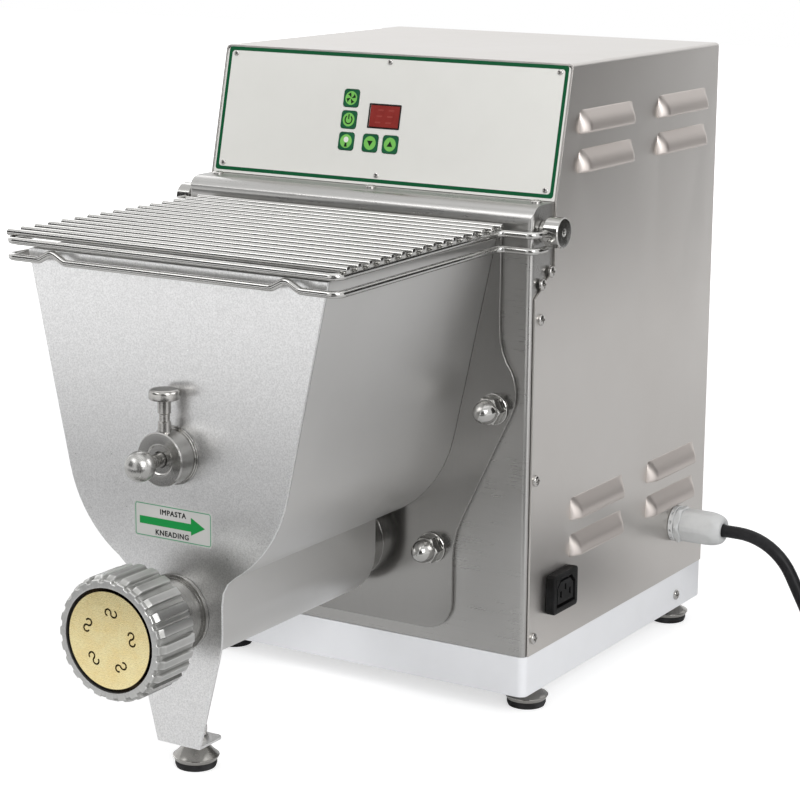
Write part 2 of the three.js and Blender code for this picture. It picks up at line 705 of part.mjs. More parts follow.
function baseTray() {
  const outline = (inset) => roundedRectangle(
    -TRAY_HALF_WIDTH + inset, TRAY_HALF_WIDTH - inset, TRAY_FRONT + inset, TRAY_BACK - inset, TRAY_CORNER,
  );
  const pan = prism(outline(0), 'z', TRAY_BOTTOM, TRAY_TOP);
  const inside = prism(outline(TRAY_WALL), 'z', TRAY_FLOOR, TRAY_TOP - TRAY_WALL);
  const mouth = prism(outline(TRAY_WALL + TRAY_LIP), 'z', TRAY_FLOOR, TRAY_TOP + OVERRUN);
  const [below, above] = [TRAY_BOTTOM - OVERRUN, TRAY_FLOOR + OVERRUN];
  const studHoles = Object.values(footPlaces()).map(([x, y]) => (
    disc(FOOT_STUD_RADIUS + FIT, 'z', below, above, SMALL_SIDES).translate(x, y, 0)
  ));
  return cut(pan, inside, mouth, ...studHoles);
}

// Chassis front: front wall, cheeks and the rounded ledge under the panel, bent from one sheet

function chassisFront() {
  const side = (inset, back) => shapeOf([
    [inset, COVER_BOTTOM - (inset ? OVERRUN : 0)],
    ...arc(
      LEDGE_BEND_RADIUS, LEDGE_TOP - LEDGE_BEND_RADIUS, LEDGE_BEND_RADIUS - inset, Math.PI, Math.PI / 2,
    ),
    [SHOULDER_DEPTH + back, LEDGE_TOP - inset],
    [SHOULDER_DEPTH + back, SHOULDER_BOTTOM],
    [CHEEK_DEPTH + back, SHOULDER_BOTTOM - SHOULDER_SLOPE],
    [CHEEK_DEPTH + back, COVER_BOTTOM - (inset ? OVERRUN : 0)],
  ]);
  const halfWidth = CHASSIS_HALF_WIDTH;
  const plan = (inset, back) => roundedRectangle(
    -halfWidth + inset, halfWidth - inset,
    inset, SHOULDER_DEPTH + CHASSIS_EDGE_RADIUS + back, CHASSIS_EDGE_RADIUS,
  );
  const height = [COVER_BOTTOM - OVERRUN, LEDGE_TOP + OVERRUN];
  const outer = common(prism(side(0, 0), 'x', -halfWidth, halfWidth), prism(plan(0, 0), 'z', ...height));
  const inner = common(
    prism(side(CHASSIS_WALL, OVERRUN * 2), 'x', -halfWidth, halfWidth),
    prism(plan(CHASSIS_WALL, OVERRUN * 2), 'z', ...height),
  );
  const through = [-OVERRUN, CHASSIS_WALL + OVERRUN];
  const sealHoles = [MIXER_HEIGHT, AUGER_HEIGHT].map((z) => (
    disc(SEAL_RADIUS + FIT, 'y', ...through, SMALL_SIDES).translate(0, 0, z)
  ));
  const hingeHole = disc(HINGE_PIN_RADIUS + FIT, 'x', -halfWidth - OVERRUN, halfWidth + OVERRUN, SMALL_SIDES)
    .translate(0, HINGE_PLACE, HINGE_HEIGHT);
  return cut(outer, inner, ...sealHoles, ...studHoles(through), hingeHole);
}

function studPlaces() {
  return [
    ['upper_left', -STUD_UPPER_SPREAD, STUD_UPPER_HEIGHT],
    ['upper_right', STUD_UPPER_SPREAD, STUD_UPPER_HEIGHT],
    ['lower_left', -STUD_LOWER_SPREAD, STUD_LOWER_HEIGHT],
    ['lower_right', STUD_LOWER_SPREAD, STUD_LOWER_HEIGHT],
  ];
}

function studHoles(through) {
  return studPlaces().map(([, x, z]) => (
    disc(STUD_RADIUS + FIT, 'y', ...through, SMALL_SIDES).translate(x, 0, z)
  ));
}

// Cover: two sides and the top in one bent sheet, open at the bottom, front and back

function coverSide() {
  return shapeOf([
    [COVER_FRONT, COVER_BOTTOM],
    [COVER_FRONT, NOTCH_BOTTOM],
    [PANEL_FOOT_PLACE, NOTCH_BOTTOM + NOTCH_SLOPE_RISE],
    [PANEL_FOOT_PLACE, PANEL_FOOT_HEIGHT],
    [PANEL_HEAD_PLACE, HOUSING_TOP],
    [HOUSING_BACK, HOUSING_TOP],
    [HOUSING_BACK, COVER_BOTTOM],
  ]);
}

function louvrePlaces() {
  const heights = [LOUVRE_LOW_PLACE, LOUVRE_LOW_PLACE + LOUVRE_PAIR_RISE];
  heights.push(LOUVRE_HIGH_PLACE, LOUVRE_HIGH_PLACE + LOUVRE_PAIR_RISE);
  return [LOUVRE_FRONT_PLACE, LOUVRE_BACK_PLACE].flatMap((y) => heights.map((z) => [y, z]));
}

// A louvre's wedge stands furthest at its open lower edge and has sloping ends
function louvreWedge(base, stand, inset, drop) {
  const height = LOUVRE_HEIGHT * (stand - base) / (LOUVRE_STAND + SHEET / 2);
  const [y0, y1] = [inset, LOUVRE_LENGTH - inset];
  const [r0, r1] = [LOUVRE_END_SLOPE + inset / 2, LOUVRE_LENGTH - LOUVRE_END_SLOPE - inset / 2];
  const corners = [
    [base, y0, -drop], [base, y1, -drop], [base, y1, height], [base, y0, height],
    [stand, r0, -drop], [stand, r1, -drop],
  ];
  const faces = [0, 2, 1, 0, 3, 2, 0, 1, 5, 0, 5, 4, 4, 5, 2, 4, 2, 3, 0, 4, 3, 1, 2, 5];
  const geometry = new THREE.BufferGeometry();
  geometry.setAttribute('position', new THREE.Float32BufferAttribute(corners.flat(), 3));
  geometry.setIndex(faces);
  return geometry;
}

function housingCover() {
  const width = HOUSING_HALF_WIDTH;
  const [shoulder, crown] = [width - COVER_EDGE_RADIUS, HOUSING_TOP - COVER_EDGE_RADIUS];
  const arch = (inset) => shapeOf([
    [width - inset, COVER_BOTTOM - OVERRUN],
    ...arc(shoulder, crown, COVER_EDGE_RADIUS - inset, 0, Math.PI / 2, BEND_STEPS),
    ...arc(-shoulder, crown, COVER_EDGE_RADIUS - inset, Math.PI / 2, Math.PI, BEND_STEPS),
    [-width + inset, COVER_BOTTOM - OVERRUN],
  ]);
  const outer = common(
    prism(coverSide(), 'x', -width, width),
    prism(arch(0), 'y', 0, HOUSING_BACK + OVERRUN),
  );
  const inner = prism(arch(SHEET), 'y', -OVERRUN, HOUSING_BACK + OVERRUN);
  let shell = cut(outer, inner);
  const wedges = (base, stand, inset, drop) => louvrePlaces().flatMap(([y, z]) => {
    const wedge = louvreWedge(base, stand, inset, drop).translate(0, y, z);
    return [wedge, mirrored(wedge)];
  });
  const crest = width + LOUVRE_STAND;
  shell = join(shell, ...wedges(width - SHEET / 2, crest, 0, 0));
  shell = cut(shell, ...wedges(width - SHEET - OVERRUN, crest - SHEET, SHEET, FIT));
  const outletHole = block(
    width - SHEET - OVERRUN, width + OVERRUN,
    OUTLET_PLACE - OUTLET_BODY_WIDTH / 2 - FIT, OUTLET_PLACE + OUTLET_BODY_WIDTH / 2 + FIT,
    OUTLET_MIDDLE_HEIGHT - OUTLET_BODY_HEIGHT / 2 - FIT, OUTLET_MIDDLE_HEIGHT + OUTLET_BODY_HEIGHT / 2 + FIT,
  );
  const [within, beyond] = [width - SHEET - OVERRUN, width + OVERRUN];
  const glandHole = disc(GLAND_THREAD_RADIUS + FIT, 'x', within, beyond, SMALL_SIDES)
    .translate(0, GLAND_PLACE, GLAND_HEIGHT);
  return cut(shell, outletHole, glandHole);
}

function backPanel() {
  const plate = (inset) => [-CHASSIS_HALF_WIDTH + inset, CHASSIS_HALF_WIDTH - inset];
  const height = (inset) => [COVER_BOTTOM + inset, HOUSING_TOP - SHEET - FIT - inset];
  const face = HOUSING_BACK - BACK_PANEL_INSET;
  const rim = COVER_EDGE_RADIUS;
  const outline = (inset) => roundedRectangle(...plate(inset), ...height(inset), rim);
  const pan = prism(outline(0), 'y', face - BACK_PANEL_RETURN, face);
  return cut(pan, prism(outline(SHEET), 'y', face - BACK_PANEL_RETURN - OVERRUN, face - SHEET));
}

// Control panel and what it carries, drawn flat: X across, Y up the slant, Z out of the face

function keyPlaces() {
  return [
    ['key_fan', KEY_LEFT_PLACE, KEY_LOW_HEIGHT + 2 * KEY_ROW_PITCH],
    ['key_power', KEY_LEFT_PLACE, KEY_LOW_HEIGHT + KEY_ROW_PITCH],
    ['key_lamp', KEY_LEFT_PLACE, KEY_LOW_HEIGHT],
    ['key_down', KEY_MIDDLE_PLACE, KEY_LOW_HEIGHT],
    ['key_up', KEY_MIDDLE_PLACE + KEY_COLUMN_PITCH, KEY_LOW_HEIGHT],
  ];
}

function squareAt(x, y, size, radius) {
  const half = size / 2;
  return roundedRectangle(x - half, x + half, y - half, y + half, radius, WIRE_BEND_STEPS);
}

function displayOutline(grow) {
  const [halfWidth, halfHeight] = [DISPLAY_WIDTH / 2 + grow, DISPLAY_HEIGHT / 2 + grow];
  return rectangle(
    DISPLAY_PLACE - halfWidth, DISPLAY_PLACE + halfWidth,
    DISPLAY_MIDDLE_HEIGHT - halfHeight, DISPLAY_MIDDLE_HEIGHT + halfHeight,
  );
}

// The panel is a pan; its upper and lower returns run level, on the ledge and under the cover
function panelPlate() {
  const opening = (inset) => {
    const halfWidth = CHASSIS_HALF_WIDTH - inset;
    const top = HOUSING_TOP - SHEET - FIT - inset;
    const outline = symmetric([
      ...arc(
        halfWidth - COVER_EDGE_RADIUS, top - COVER_EDGE_RADIUS, COVER_EDGE_RADIUS, Math.PI / 2, 0, BEND_STEPS,
      ),
      [halfWidth, LEDGE_TOP + FIT + inset],
    ]);
    return prism(outline, 'y', 0, 2 * PANEL_HEAD_PLACE)
      .translate(0, -PANEL_FOOT_PLACE, -PANEL_FOOT_HEIGHT)
      .rotateX(PANEL_LEAN - Math.PI / 2);
  };
  const slab = (back, front) => block(
    -HOUSING_HALF_WIDTH, HOUSING_HALF_WIDTH, -OVERRUN, PANEL_SLANT + OVERRUN, -back, -front,
  );
  const tray = cut(
    common(opening(0), slab(PANEL_RETURN, 0)),
    common(opening(SHEET), slab(PANEL_RETURN + OVERRUN, PANEL_PLATE)),
  );
  const keyHoles = keyPlaces().map(([, x, y]) => (
    prism(squareAt(x, y, KEY_SIZE, KEY_CORNER), 'z', -PANEL_PLATE - OVERRUN, OVERRUN)
  ));
  return cut(tray, ...keyHoles, prism(displayOutline(0), 'z', -PANEL_PLATE - OVERRUN, OVERRUN));
}

function key(x, y) {
  const flangeTop = -PANEL_PLATE - FIT;
  const flangeBottom = flangeTop - KEY_FLANGE_THICKNESS;
  const stemEnd = -BOARD_DEPTH + SWITCH_HEIGHT + KEY_TRAVEL + FIT;
  return join(
    prism(squareAt(x, y, KEY_SIZE - 2 * FIT, KEY_CORNER - FIT), 'z', flangeBottom, KEY_PROUD),
    prism(squareAt(x, y, KEY_SIZE + 2 * KEY_FLANGE - 2 * FIT, KEY_CORNER), 'z', flangeBottom, flangeTop),
    disc(KEY_STEM_RADIUS, 'z', stemEnd, flangeBottom + FIT, WIRE_SIDES).translate(x, y, 0),
  );
}

function controlBoard() {
  const left = KEY_LEFT_PLACE - KEY_SIZE / 2 - BOARD_MARGIN;
  const right = KEY_MIDDLE_PLACE + KEY_COLUMN_PITCH + KEY_SIZE / 2 + BOARD_MARGIN;
  const bottom = KEY_LOW_HEIGHT - KEY_SIZE / 2 - BOARD_MARGIN;
  const top = KEY_LOW_HEIGHT + 2 * KEY_ROW_PITCH + KEY_SIZE / 2 + BOARD_MARGIN;
  const plate = prism(rectangle(left, right, bottom, top), 'z', -BOARD_DEPTH - BOARD_THICKNESS, -BOARD_DEPTH);
  const half = SWITCH_SIZE / 2;
  const switches = keyPlaces().map(([, x, y]) => (
    block(x - half, x + half, y - half, y + half, -BOARD_DEPTH - FIT, -BOARD_DEPTH + SWITCH_HEIGHT)
  ));
  const displayBase = prism(displayOutline(-KEY_FLANGE), 'z', -BOARD_DEPTH - FIT, -DISPLAY_DEPTH - FIT);
  const inset = BOARD_POST_RADIUS + KEY_FLANGE;
  const posts = [left + inset, right - inset].flatMap((x) => [bottom + inset, top - inset].map((y) => (
    disc(BOARD_POST_RADIUS, 'z', -BOARD_DEPTH - FIT, -PANEL_PLATE - FIT, WIRE_SIDES).translate(x, y, 0)
  )));
  return join(plate, displayBase, ...switches, ...posts);
}

function addPanel() {
  const panel = new THREE.Group();
  panel.position.set(0, PANEL_FOOT_PLACE, PANEL_FOOT_HEIGHT);
  panel.rotation.x = Math.PI / 2 - PANEL_LEAN;
  machine.add(panel);
  place('control_panel', panelPlate(), labelFilm, panel);
  place('display_window', prism(displayOutline(-FIT), 'z', -DISPLAY_DEPTH, 0), displayRed, panel);
  keyPlaces().forEach(([name, x, y]) => place(name, key(x, y), keyGreen, panel));
  place('control_board', controlBoard(), boardGreen, panel);
}

// Power outlet, drawn about its own middle and moved to the right side

function chamferedTop(width, height, chamfer) {
  return symmetric([
    [width / 2 - chamfer, height / 2],
    [width / 2, height / 2 - chamfer],
    [width / 2, -height / 2],
  ]);
}

function powerOutlet() {
  const wall = HOUSING_HALF_WIDTH;
  const [halfWidth, halfHeight] = [OUTLET_WIDTH / 2, OUTLET_HEIGHT / 2];
  const flange = prism(
    roundedRectangle(-halfWidth, halfWidth, -halfHeight, halfHeight, OUTLET_CHAMFER),
    'x', wall + FIT, wall + OUTLET_FLANGE,
  );
  const collar = prism(
    roundedRectangle(
      -OUTLET_COLLAR_WIDTH / 2, OUTLET_COLLAR_WIDTH / 2,
      -OUTLET_COLLAR_HEIGHT / 2, OUTLET_COLLAR_HEIGHT / 2, OUTLET_CHAMFER / 2,
    ),
    'x', wall + FIT, wall + OUTLET_PROUD,
  );
  const body = prism(rectangle(
    -OUTLET_BODY_WIDTH / 2, OUTLET_BODY_WIDTH / 2, -OUTLET_BODY_HEIGHT / 2, OUTLET_BODY_HEIGHT / 2,
  ), 'x', wall - OUTLET_BODY_DEPTH, wall + OUTLET_FLANGE);
  const face = wall + OUTLET_PROUD;
  const moat = chamferedTop(
    OUTLET_CORE_WIDTH + 2 * OUTLET_GROOVE, OUTLET_CORE_HEIGHT + 2 * OUTLET_GROOVE,
    OUTLET_CORE_CHAMFER + OUTLET_GROOVE / 2,
  );
  const floor = face - OUTLET_GROOVE_DEPTH;
  const core = chamferedTop(OUTLET_CORE_WIDTH, OUTLET_CORE_HEIGHT, OUTLET_CORE_CHAMFER);
  const housing = cut(join(flange, collar, body), prism(moat, 'x', floor, face + OVERRUN));
  const slots = [-1, 0, 1].map((side) => {
    const middle = side ? -OUTLET_EARTH_RISE / 2 : OUTLET_EARTH_RISE;
    const [y, half, rise] = [side * OUTLET_SLOT_PITCH, OUTLET_SLOT_WIDTH / 2, OUTLET_SLOT_HEIGHT / 2];
    const outline = rectangle(y - half, y + half, middle - rise, middle + rise);
    return prism(outline, 'x', floor + OUTLET_FLANGE, face + OVERRUN);
  });
  const plugged = cut(join(housing, prism(core, 'x', floor - FIT, face - FIT * 2)), ...slots);
  return plugged.translate(0, OUTLET_PLACE, OUTLET_MIDDLE_HEIGHT);
}

// Tub: outlines shared by the front plate and the shell, drawn in X and Z

function wallAngle() {
  const [across, rise] = [TUB_TOP_HALF_WIDTH, TUB_TOP - MIXER_HEIGHT];
  return Math.atan2(rise, across) - Math.acos(TUB_RADIUS / Math.hypot(across, rise));
}

// The straight wall's top corner and the arc under it, down to an angle, on the right half
function tubSide(inset, lowestAngle, top = TUB_TOP) {
  const [angle, radius] = [wallAngle(), TUB_RADIUS - inset];
  const side = arc(0, MIXER_HEIGHT, radius, angle, lowestAngle, TUB_ARC_STEPS / 2);
  const run = (top - side[0][1]) / Math.cos(angle);
  return [[side[0][0] - run * Math.sin(angle), top], ...side];
}

function troughOutline(halfWidth, top) {
  return symmetric([
    [halfWidth, top],
    ...arc(0, AUGER_HEIGHT, halfWidth, 0, -Math.PI / 2, ARC_STEPS),
  ]);
}

function frontPlate() {
  const side = tubSide(0, NECK_BEND_ANGLE);
  const last = side[side.length - 1];
  const neckCorner = last[1] + (last[0] - NECK_HALF_WIDTH) / Math.tan(NECK_BEND_ANGLE);
  const taper = Math.atan2(NECK_HALF_WIDTH - LEG_BOTTOM_HALF_WIDTH, LEG_TAPER_TOP - LEG_BOTTOM);
  const taperBend = [
    NECK_HALF_WIDTH - LEG_TAPER_BEND * Math.sin(taper),
    LEG_TAPER_TOP - LEG_TAPER_BEND * Math.cos(taper),
  ];
  const outline = symmetric([
    ...side.slice(0, -1),
    ...bend(last, [NECK_HALF_WIDTH, neckCorner], [NECK_HALF_WIDTH, NECK_TOP]),
    ...bend([NECK_HALF_WIDTH, LEG_TAPER_TOP + LEG_TAPER_BEND], [NECK_HALF_WIDTH, LEG_TAPER_TOP], taperBend),
    [LEG_BOTTOM_HALF_WIDTH, LEG_BOTTOM],
  ]);
  const tab = prism(
    roundedRectangle(
      -LEG_BOTTOM_HALF_WIDTH, LEG_BOTTOM_HALF_WIDTH, TUB_FRONT, TUB_FRONT + TAB_DEPTH, LEG_CORNER,
    ),
    'z', LEG_BOTTOM, LEG_BOTTOM + FRONT_PLATE,
  );
  const tabRoot = block(
    -LEG_BOTTOM_HALF_WIDTH, LEG_BOTTOM_HALF_WIDTH, TUB_FRONT, TUB_FRONT + LEG_CORNER,
    LEG_BOTTOM, LEG_BOTTOM + FRONT_PLATE,
  );
  const through = [TUB_FRONT - OVERRUN, PLATE_BACK + OVERRUN];
  return cut(
    join(prism(outline, 'y', TUB_FRONT, PLATE_BACK), tab, tabRoot),
    disc(SPOUT_RADIUS + FIT, 'y', ...through).translate(0, 0, AUGER_HEIGHT),
    disc(PIVOT_PIN_RADIUS + RUNNING_FIT, 'y', ...through, SMALL_SIDES).translate(0, 0, MIXER_HEIGHT),
    disc(FOOT_STUD_RADIUS + FIT, 'z', LEG_BOTTOM - OVERRUN, LEG_BOTTOM + FRONT_PLATE + OVERRUN, SMALL_SIDES)
      .translate(0, TUB_FRONT + TAB_PLACE, 0),
  );
}

function tubShell() {
  const front = PLATE_BACK + FIT;
  const basin = (inset, top) => symmetric(tubSide(inset, -Math.PI / 2, top));
  const outer = join(
    prism(basin(0, TUB_TOP), 'y', front, TUB_BACK),
    prism(troughOutline(TROUGH_HALF_WIDTH, MIXER_HEIGHT), 'y', front, TROUGH_BACK),
  );
  return cut(
    outer,
    prism(basin(SHEET, TUB_TOP + OVERRUN), 'y', front - OVERRUN, TUB_BACK + OVERRUN),
    prism(troughOutline(TROUGH_INSIDE, MIXER_HEIGHT), 'y', front - OVERRUN, TROUGH_BACK - SHEET),
    disc(SHAFT_RADIUS + RUNNING_FIT, 'y', TROUGH_BACK - OVERRUN, TROUGH_BACK + OVERRUN)
      .translate(0, 0, AUGER_HEIGHT),
  );
}

function rearPlate() {
  const ear = arc(EAR_HALF_SPREAD, EAR_HEIGHT, EAR_RADIUS, EAR_TOP_ANGLE, EAR_LOW_ANGLE);
  const earEnd = ear[ear.length - 1];
  const slope = (earEnd[1] - APRON_TOP) / (earEnd[0] - APRON_SPREAD);
  const waist = APRON_TOP - (APRON_SPREAD - APRON_HALF_WIDTH) * slope;
  const outline = symmetric([
    [REAR_PLATE_HALF_WIDTH, REAR_PLATE_TOP],
    ...bend([REAR_PLATE_HALF_WIDTH, EAR_FILLET_TOP], [REAR_PLATE_HALF_WIDTH, EAR_FILLET_BOTTOM], ear[0]),
    ...ear.slice(1),
    ...bend([APRON_SPREAD, APRON_TOP], [APRON_HALF_WIDTH, waist], [APRON_HALF_WIDTH, APRON_BEND_BOTTOM]),
    ...arc(APRON_HALF_WIDTH - APRON_CORNER, APRON_BOTTOM + APRON_CORNER, APRON_CORNER, 0, -Math.PI / 2),
  ]);
  const plate = prism(outline, 'y', REAR_PLATE_FRONT, -FIT);
  const neck = cut(
    disc(BEARING_NECK_RADIUS, 'y', TROUGH_BACK + FIT, REAR_PLATE_FRONT + FIT).translate(0, 0, AUGER_HEIGHT),
    disc(TUB_RADIUS + FIT, 'y', TROUGH_BACK, REAR_PLATE_FRONT, 2 * ROUND_SIDES).translate(0, 0, MIXER_HEIGHT),
  );
  const sealHoles = [MIXER_HEIGHT, AUGER_HEIGHT].map((z) => (
    disc(SEAL_RADIUS + FIT, 'y', REAR_PLATE_FRONT, OVERRUN, SMALL_SIDES).translate(0, 0, z)
  ));
  return cut(
    join(plate, neck),
    ...sealHoles,
    ...studHoles([REAR_PLATE_FRONT - OVERRUN, OVERRUN]),
    disc(SHAFT_RADIUS + RUNNING_FIT, 'y', TROUGH_BACK, OVERRUN).translate(0, 0, AUGER_HEIGHT),
  );
}

// Stud through rear plate and chassis with its acorn nut, drawn about its own axis
function acornStud() {
  const washerFront = REAR_PLATE_FRONT - FIT - ACORN_WASHER;
  const hexFront = washerFront - ACORN_HEX_HEIGHT;
  const tip = REAR_PLATE_FRONT - FIT - ACORN_LENGTH;
  const dome = arc(0, 0, 1, 0, Math.PI / 2, ARC_STEPS / 2).map(([a, b]) => (
    [ACORN_DOME_RADIUS * a, hexFront + FIT + (tip - hexFront - FIT) * b]
  ));
  return join(
    disc(STUD_RADIUS, 'y', REAR_PLATE_FRONT - ACORN_WASHER, STUD_REACH, SMALL_SIDES),
    disc(ACORN_WASHER_RADIUS, 'y', washerFront, REAR_PLATE_FRONT - FIT, SMALL_SIDES),
    prism(ring(ACORN_HEX_RADIUS, HEX_SIDES), 'y', hexFront, washerFront + FIT),
    revolve([[0, hexFront + 2 * FIT], [ACORN_DOME_RADIUS, hexFront + 2 * FIT], ...dome], 'y', SMALL_SIDES),
  );
}

// Auger barrel: a liner in the trough, open above, and the spout with the thread's head

function augerBarrel() {
  const liner = symmetric([
    [BORE_RADIUS, BARREL_LIP_HEIGHT - BARREL_LIP_DROP],
    [TROUGH_INSIDE - FIT, BARREL_LIP_HEIGHT],
    ...arc(0, AUGER_HEIGHT, TROUGH_INSIDE - FIT, 0, -Math.PI / 2, ARC_STEPS),
  ]);
  const linerFront = PLATE_BACK + FIT;
  const linerBack = TROUGH_BACK - SHEET - FIT;
  const plateFace = TUB_FRONT - FIT;
  const middle = (body) => body.translate(0, 0, AUGER_HEIGHT);
  const body = join(
    prism(liner, 'y', linerFront, linerBack),
    middle(disc(SPOUT_RADIUS, 'y', HEAD_BACK - FIT, linerFront + FIT, BARREL_SIDES)),
    middle(disc(SPOUT_FLANGE_RADIUS, 'y', plateFace - SPOUT_FLANGE, plateFace)),
    middle(disc(HEAD_RADIUS, 'y', HEAD_FRONT, HEAD_BACK, BARREL_SIDES)),
  );
  return cut(
    body,
    middle(disc(BORE_RADIUS, 'y', HEAD_FRONT - OVERRUN, linerBack + OVERRUN, BARREL_SIDES)),
    block(
      -BORE_RADIUS, BORE_RADIUS, linerFront + SHEET, linerBack + OVERRUN,
      AUGER_HEIGHT, BARREL_LIP_HEIGHT + OVERRUN,
    ),
  );
}

// Die disc with S-shaped slots, which press the short curled pasta

function ribbonOutline(points, width) {
  const side = (sign) => points.map(([a, b], i) => {
    const [before, after] = [points[Math.max(i - 1, 0)], points[Math.min(i + 1, points.length - 1)]];
    const [da, db] = [after[0] - before[0], after[1] - before[1]];
    const length = Math.hypot(da, db);
    return [a - sign * width / 2 * db / length, b + sign * width / 2 * da / length];
  });
  return shapeOf([...side(1), ...side(-1).reverse()]);
}

function dieDisc() {
  const flangeBack = HEAD_FRONT - FIT;
  const flangeFront = flangeBack - DIE_FLANGE;
  const body = revolve([
    [0, flangeBack],
    [DIE_FLANGE_RADIUS, flangeBack],
    [DIE_FLANGE_RADIUS, flangeFront],
    [DIE_RADIUS, flangeFront],
    [DIE_RADIUS, DIE_FACE],
    [0, DIE_FACE],
  ], 'y', BARREL_SIDES);
  const curl = [
    ...arc(0, DIE_SLOT_RADIUS, DIE_SLOT_RADIUS, 0, 2 * Math.PI * DIE_CURL_TURN_SHARE, BEND_STEPS + 1),
    ...arc(0, -DIE_SLOT_RADIUS, DIE_SLOT_RADIUS, Math.PI / 2, -Math.PI, BEND_STEPS + 1).slice(1),
  ];
  const slots = DIE_SLOT_BEARINGS.map((bearing) => (
    prism(ribbonOutline(curl, DIE_SLOT_WIDTH), 'y', DIE_FACE - OVERRUN, flangeBack + OVERRUN)
      .rotateY(Math.PI / 2 - bearing)
      .translate(DIE_SLOT_RING * Math.cos(bearing), 0, DIE_SLOT_RING * Math.sin(bearing))
  ));
  return cut(body, ...slots).translate(0, 0, AUGER_HEIGHT);
}

function ringNut() {
  const half = Math.PI / NUT_RIB_COUNT * NUT_RIB_SHARE;
  const ribs = shapeOf(Array.from({ length: NUT_RIB_COUNT }, (_, i) => {
    const angle = 2 * Math.PI * i / NUT_RIB_COUNT;
    const at = (radius, turn) => [radius * Math.cos(angle + turn), radius * Math.sin(angle + turn)];
    return [
      at(NUT_ROOT_RADIUS, -half), at(NUT_RIB_RADIUS, -half * NUT_RIB_TIP_SHARE),
      at(NUT_RIB_RADIUS, half * NUT_RIB_TIP_SHARE), at(NUT_ROOT_RADIUS, half),
    ];
  }).flat());
  const halfPitch = Math.PI / NUT_RIB_COUNT;
  const envelope = revolve([
    [0, NUT_BACK],
    [NUT_ROOT_RADIUS, NUT_BACK],
    [NUT_RIB_RADIUS, NUT_BACK + NUT_CHAMFER / 2],
    [NUT_RIB_RADIUS, NUT_RIB_FRONT + NUT_CHAMFER],
    [NUT_ROOT_RADIUS, NUT_RIB_FRONT],
    [0, NUT_RIB_FRONT],
  ].map(([radius, along]) => [radius / Math.cos(halfPitch), along]), 'y', NUT_RIB_COUNT).rotateY(halfPitch);
  const seat = HEAD_FRONT - DIE_FLANGE - 2 * FIT;
  return cut(
    join(
      common(prism(ribs, 'y', NUT_RIB_FRONT, NUT_BACK), envelope),
      disc(NUT_RING_RADIUS, 'y', NUT_FRONT, NUT_RIB_FRONT + FIT, BARREL_SIDES),
    ),
    disc(HEAD_RADIUS + FIT, 'y', seat, NUT_BACK + OVERRUN, BARREL_SIDES),
    disc(NUT_MOUTH_RADIUS, 'y', NUT_FRONT - OVERRUN, seat + OVERRUN, BARREL_SIDES),
  ).translate(0, 0, AUGER_HEIGHT);
}

// Auger: one helical flight on a core, and the shaft that carries its gear

function helix(core, crest, from, to) {
  const columns = AUGER_SIDES;
  const root = [0, (FLIGHT_ROOT - FLIGHT_TIP) / 2, (FLIGHT_ROOT + FLIGHT_TIP) / 2, FLIGHT_ROOT];
  const radii = [core, crest, crest, core];
  const rows = root.length;
  const turns = Math.ceil((to - from) / AUGER_PITCH) + FLIGHT_SPARE_TURNS;
  const start = from - FLIGHT_SPARE_TURNS / 2 * AUGER_PITCH;
  const positions = [];
  for (let j = 0; j < turns * rows; j += 1) {
    const bare = j < rows || j >= (turns - 1) * rows;
    const radius = bare ? core : radii[j % rows];
    for (let i = 0; i < columns; i += 1) {
      const angle = 2 * Math.PI * i / columns;
      const along = start + root[j % rows] + AUGER_PITCH * (Math.floor(j / rows) - i / columns);
      positions.push(radius * Math.cos(angle), along, radius * Math.sin(angle));
    }
  }
  const last = turns * rows - 1;
  const [headPoint, tailPoint] = [positions.length / 3, positions.length / 3 + 1];
  positions.push(0, start - AUGER_PITCH * 2, 0, 0, start + AUGER_PITCH * (turns + 2), 0);
  const at = (i, j) => (i < columns ? j * columns + i : (j - rows) * columns);
  const faces = [];
  for (let i = 0; i < columns; i += 1) {
    const first = i === columns - 1 ? rows : 0;
    for (let j = first; j < last; j += 1) {
      faces.push(at(i, j), at(i + 1, j), at(i + 1, j + 1), at(i, j), at(i + 1, j + 1), at(i, j + 1));
    }
    faces.push(headPoint, at(i + 1, first), at(i, first), tailPoint, at(i, last), at(i + 1, last));
  }
  for (let j = 0; j < rows; j += 1) {
    faces.push(headPoint, at(columns - 1, j + 1), at(columns - 1, j));
    faces.push(tailPoint, at(0, last - rows + j), at(0, last - rows + j + 1));
  }
  const geometry = new THREE.BufferGeometry();
  geometry.setAttribute('position', new THREE.Float32BufferAttribute(positions, 3));
  geometry.setIndex(faces);
  return geometry;
}

function auger() {
  const screw = common(
    helix(AUGER_CORE_RADIUS, AUGER_RADIUS, AUGER_FRONT, AUGER_FLIGHT_BACK),
    disc(AUGER_RADIUS + OVERRUN, 'y', AUGER_FRONT, AUGER_FLIGHT_BACK),
  );
  const shaft = disc(SHAFT_RADIUS, 'y', AUGER_FLIGHT_BACK - FIT, SHAFT_END);
  return join(screw, shaft).translate(0, 0, AUGER_HEIGHT);
}

// Mixer: a shaft with four pairs of pitched paddles, slotted behind for the driving tongue

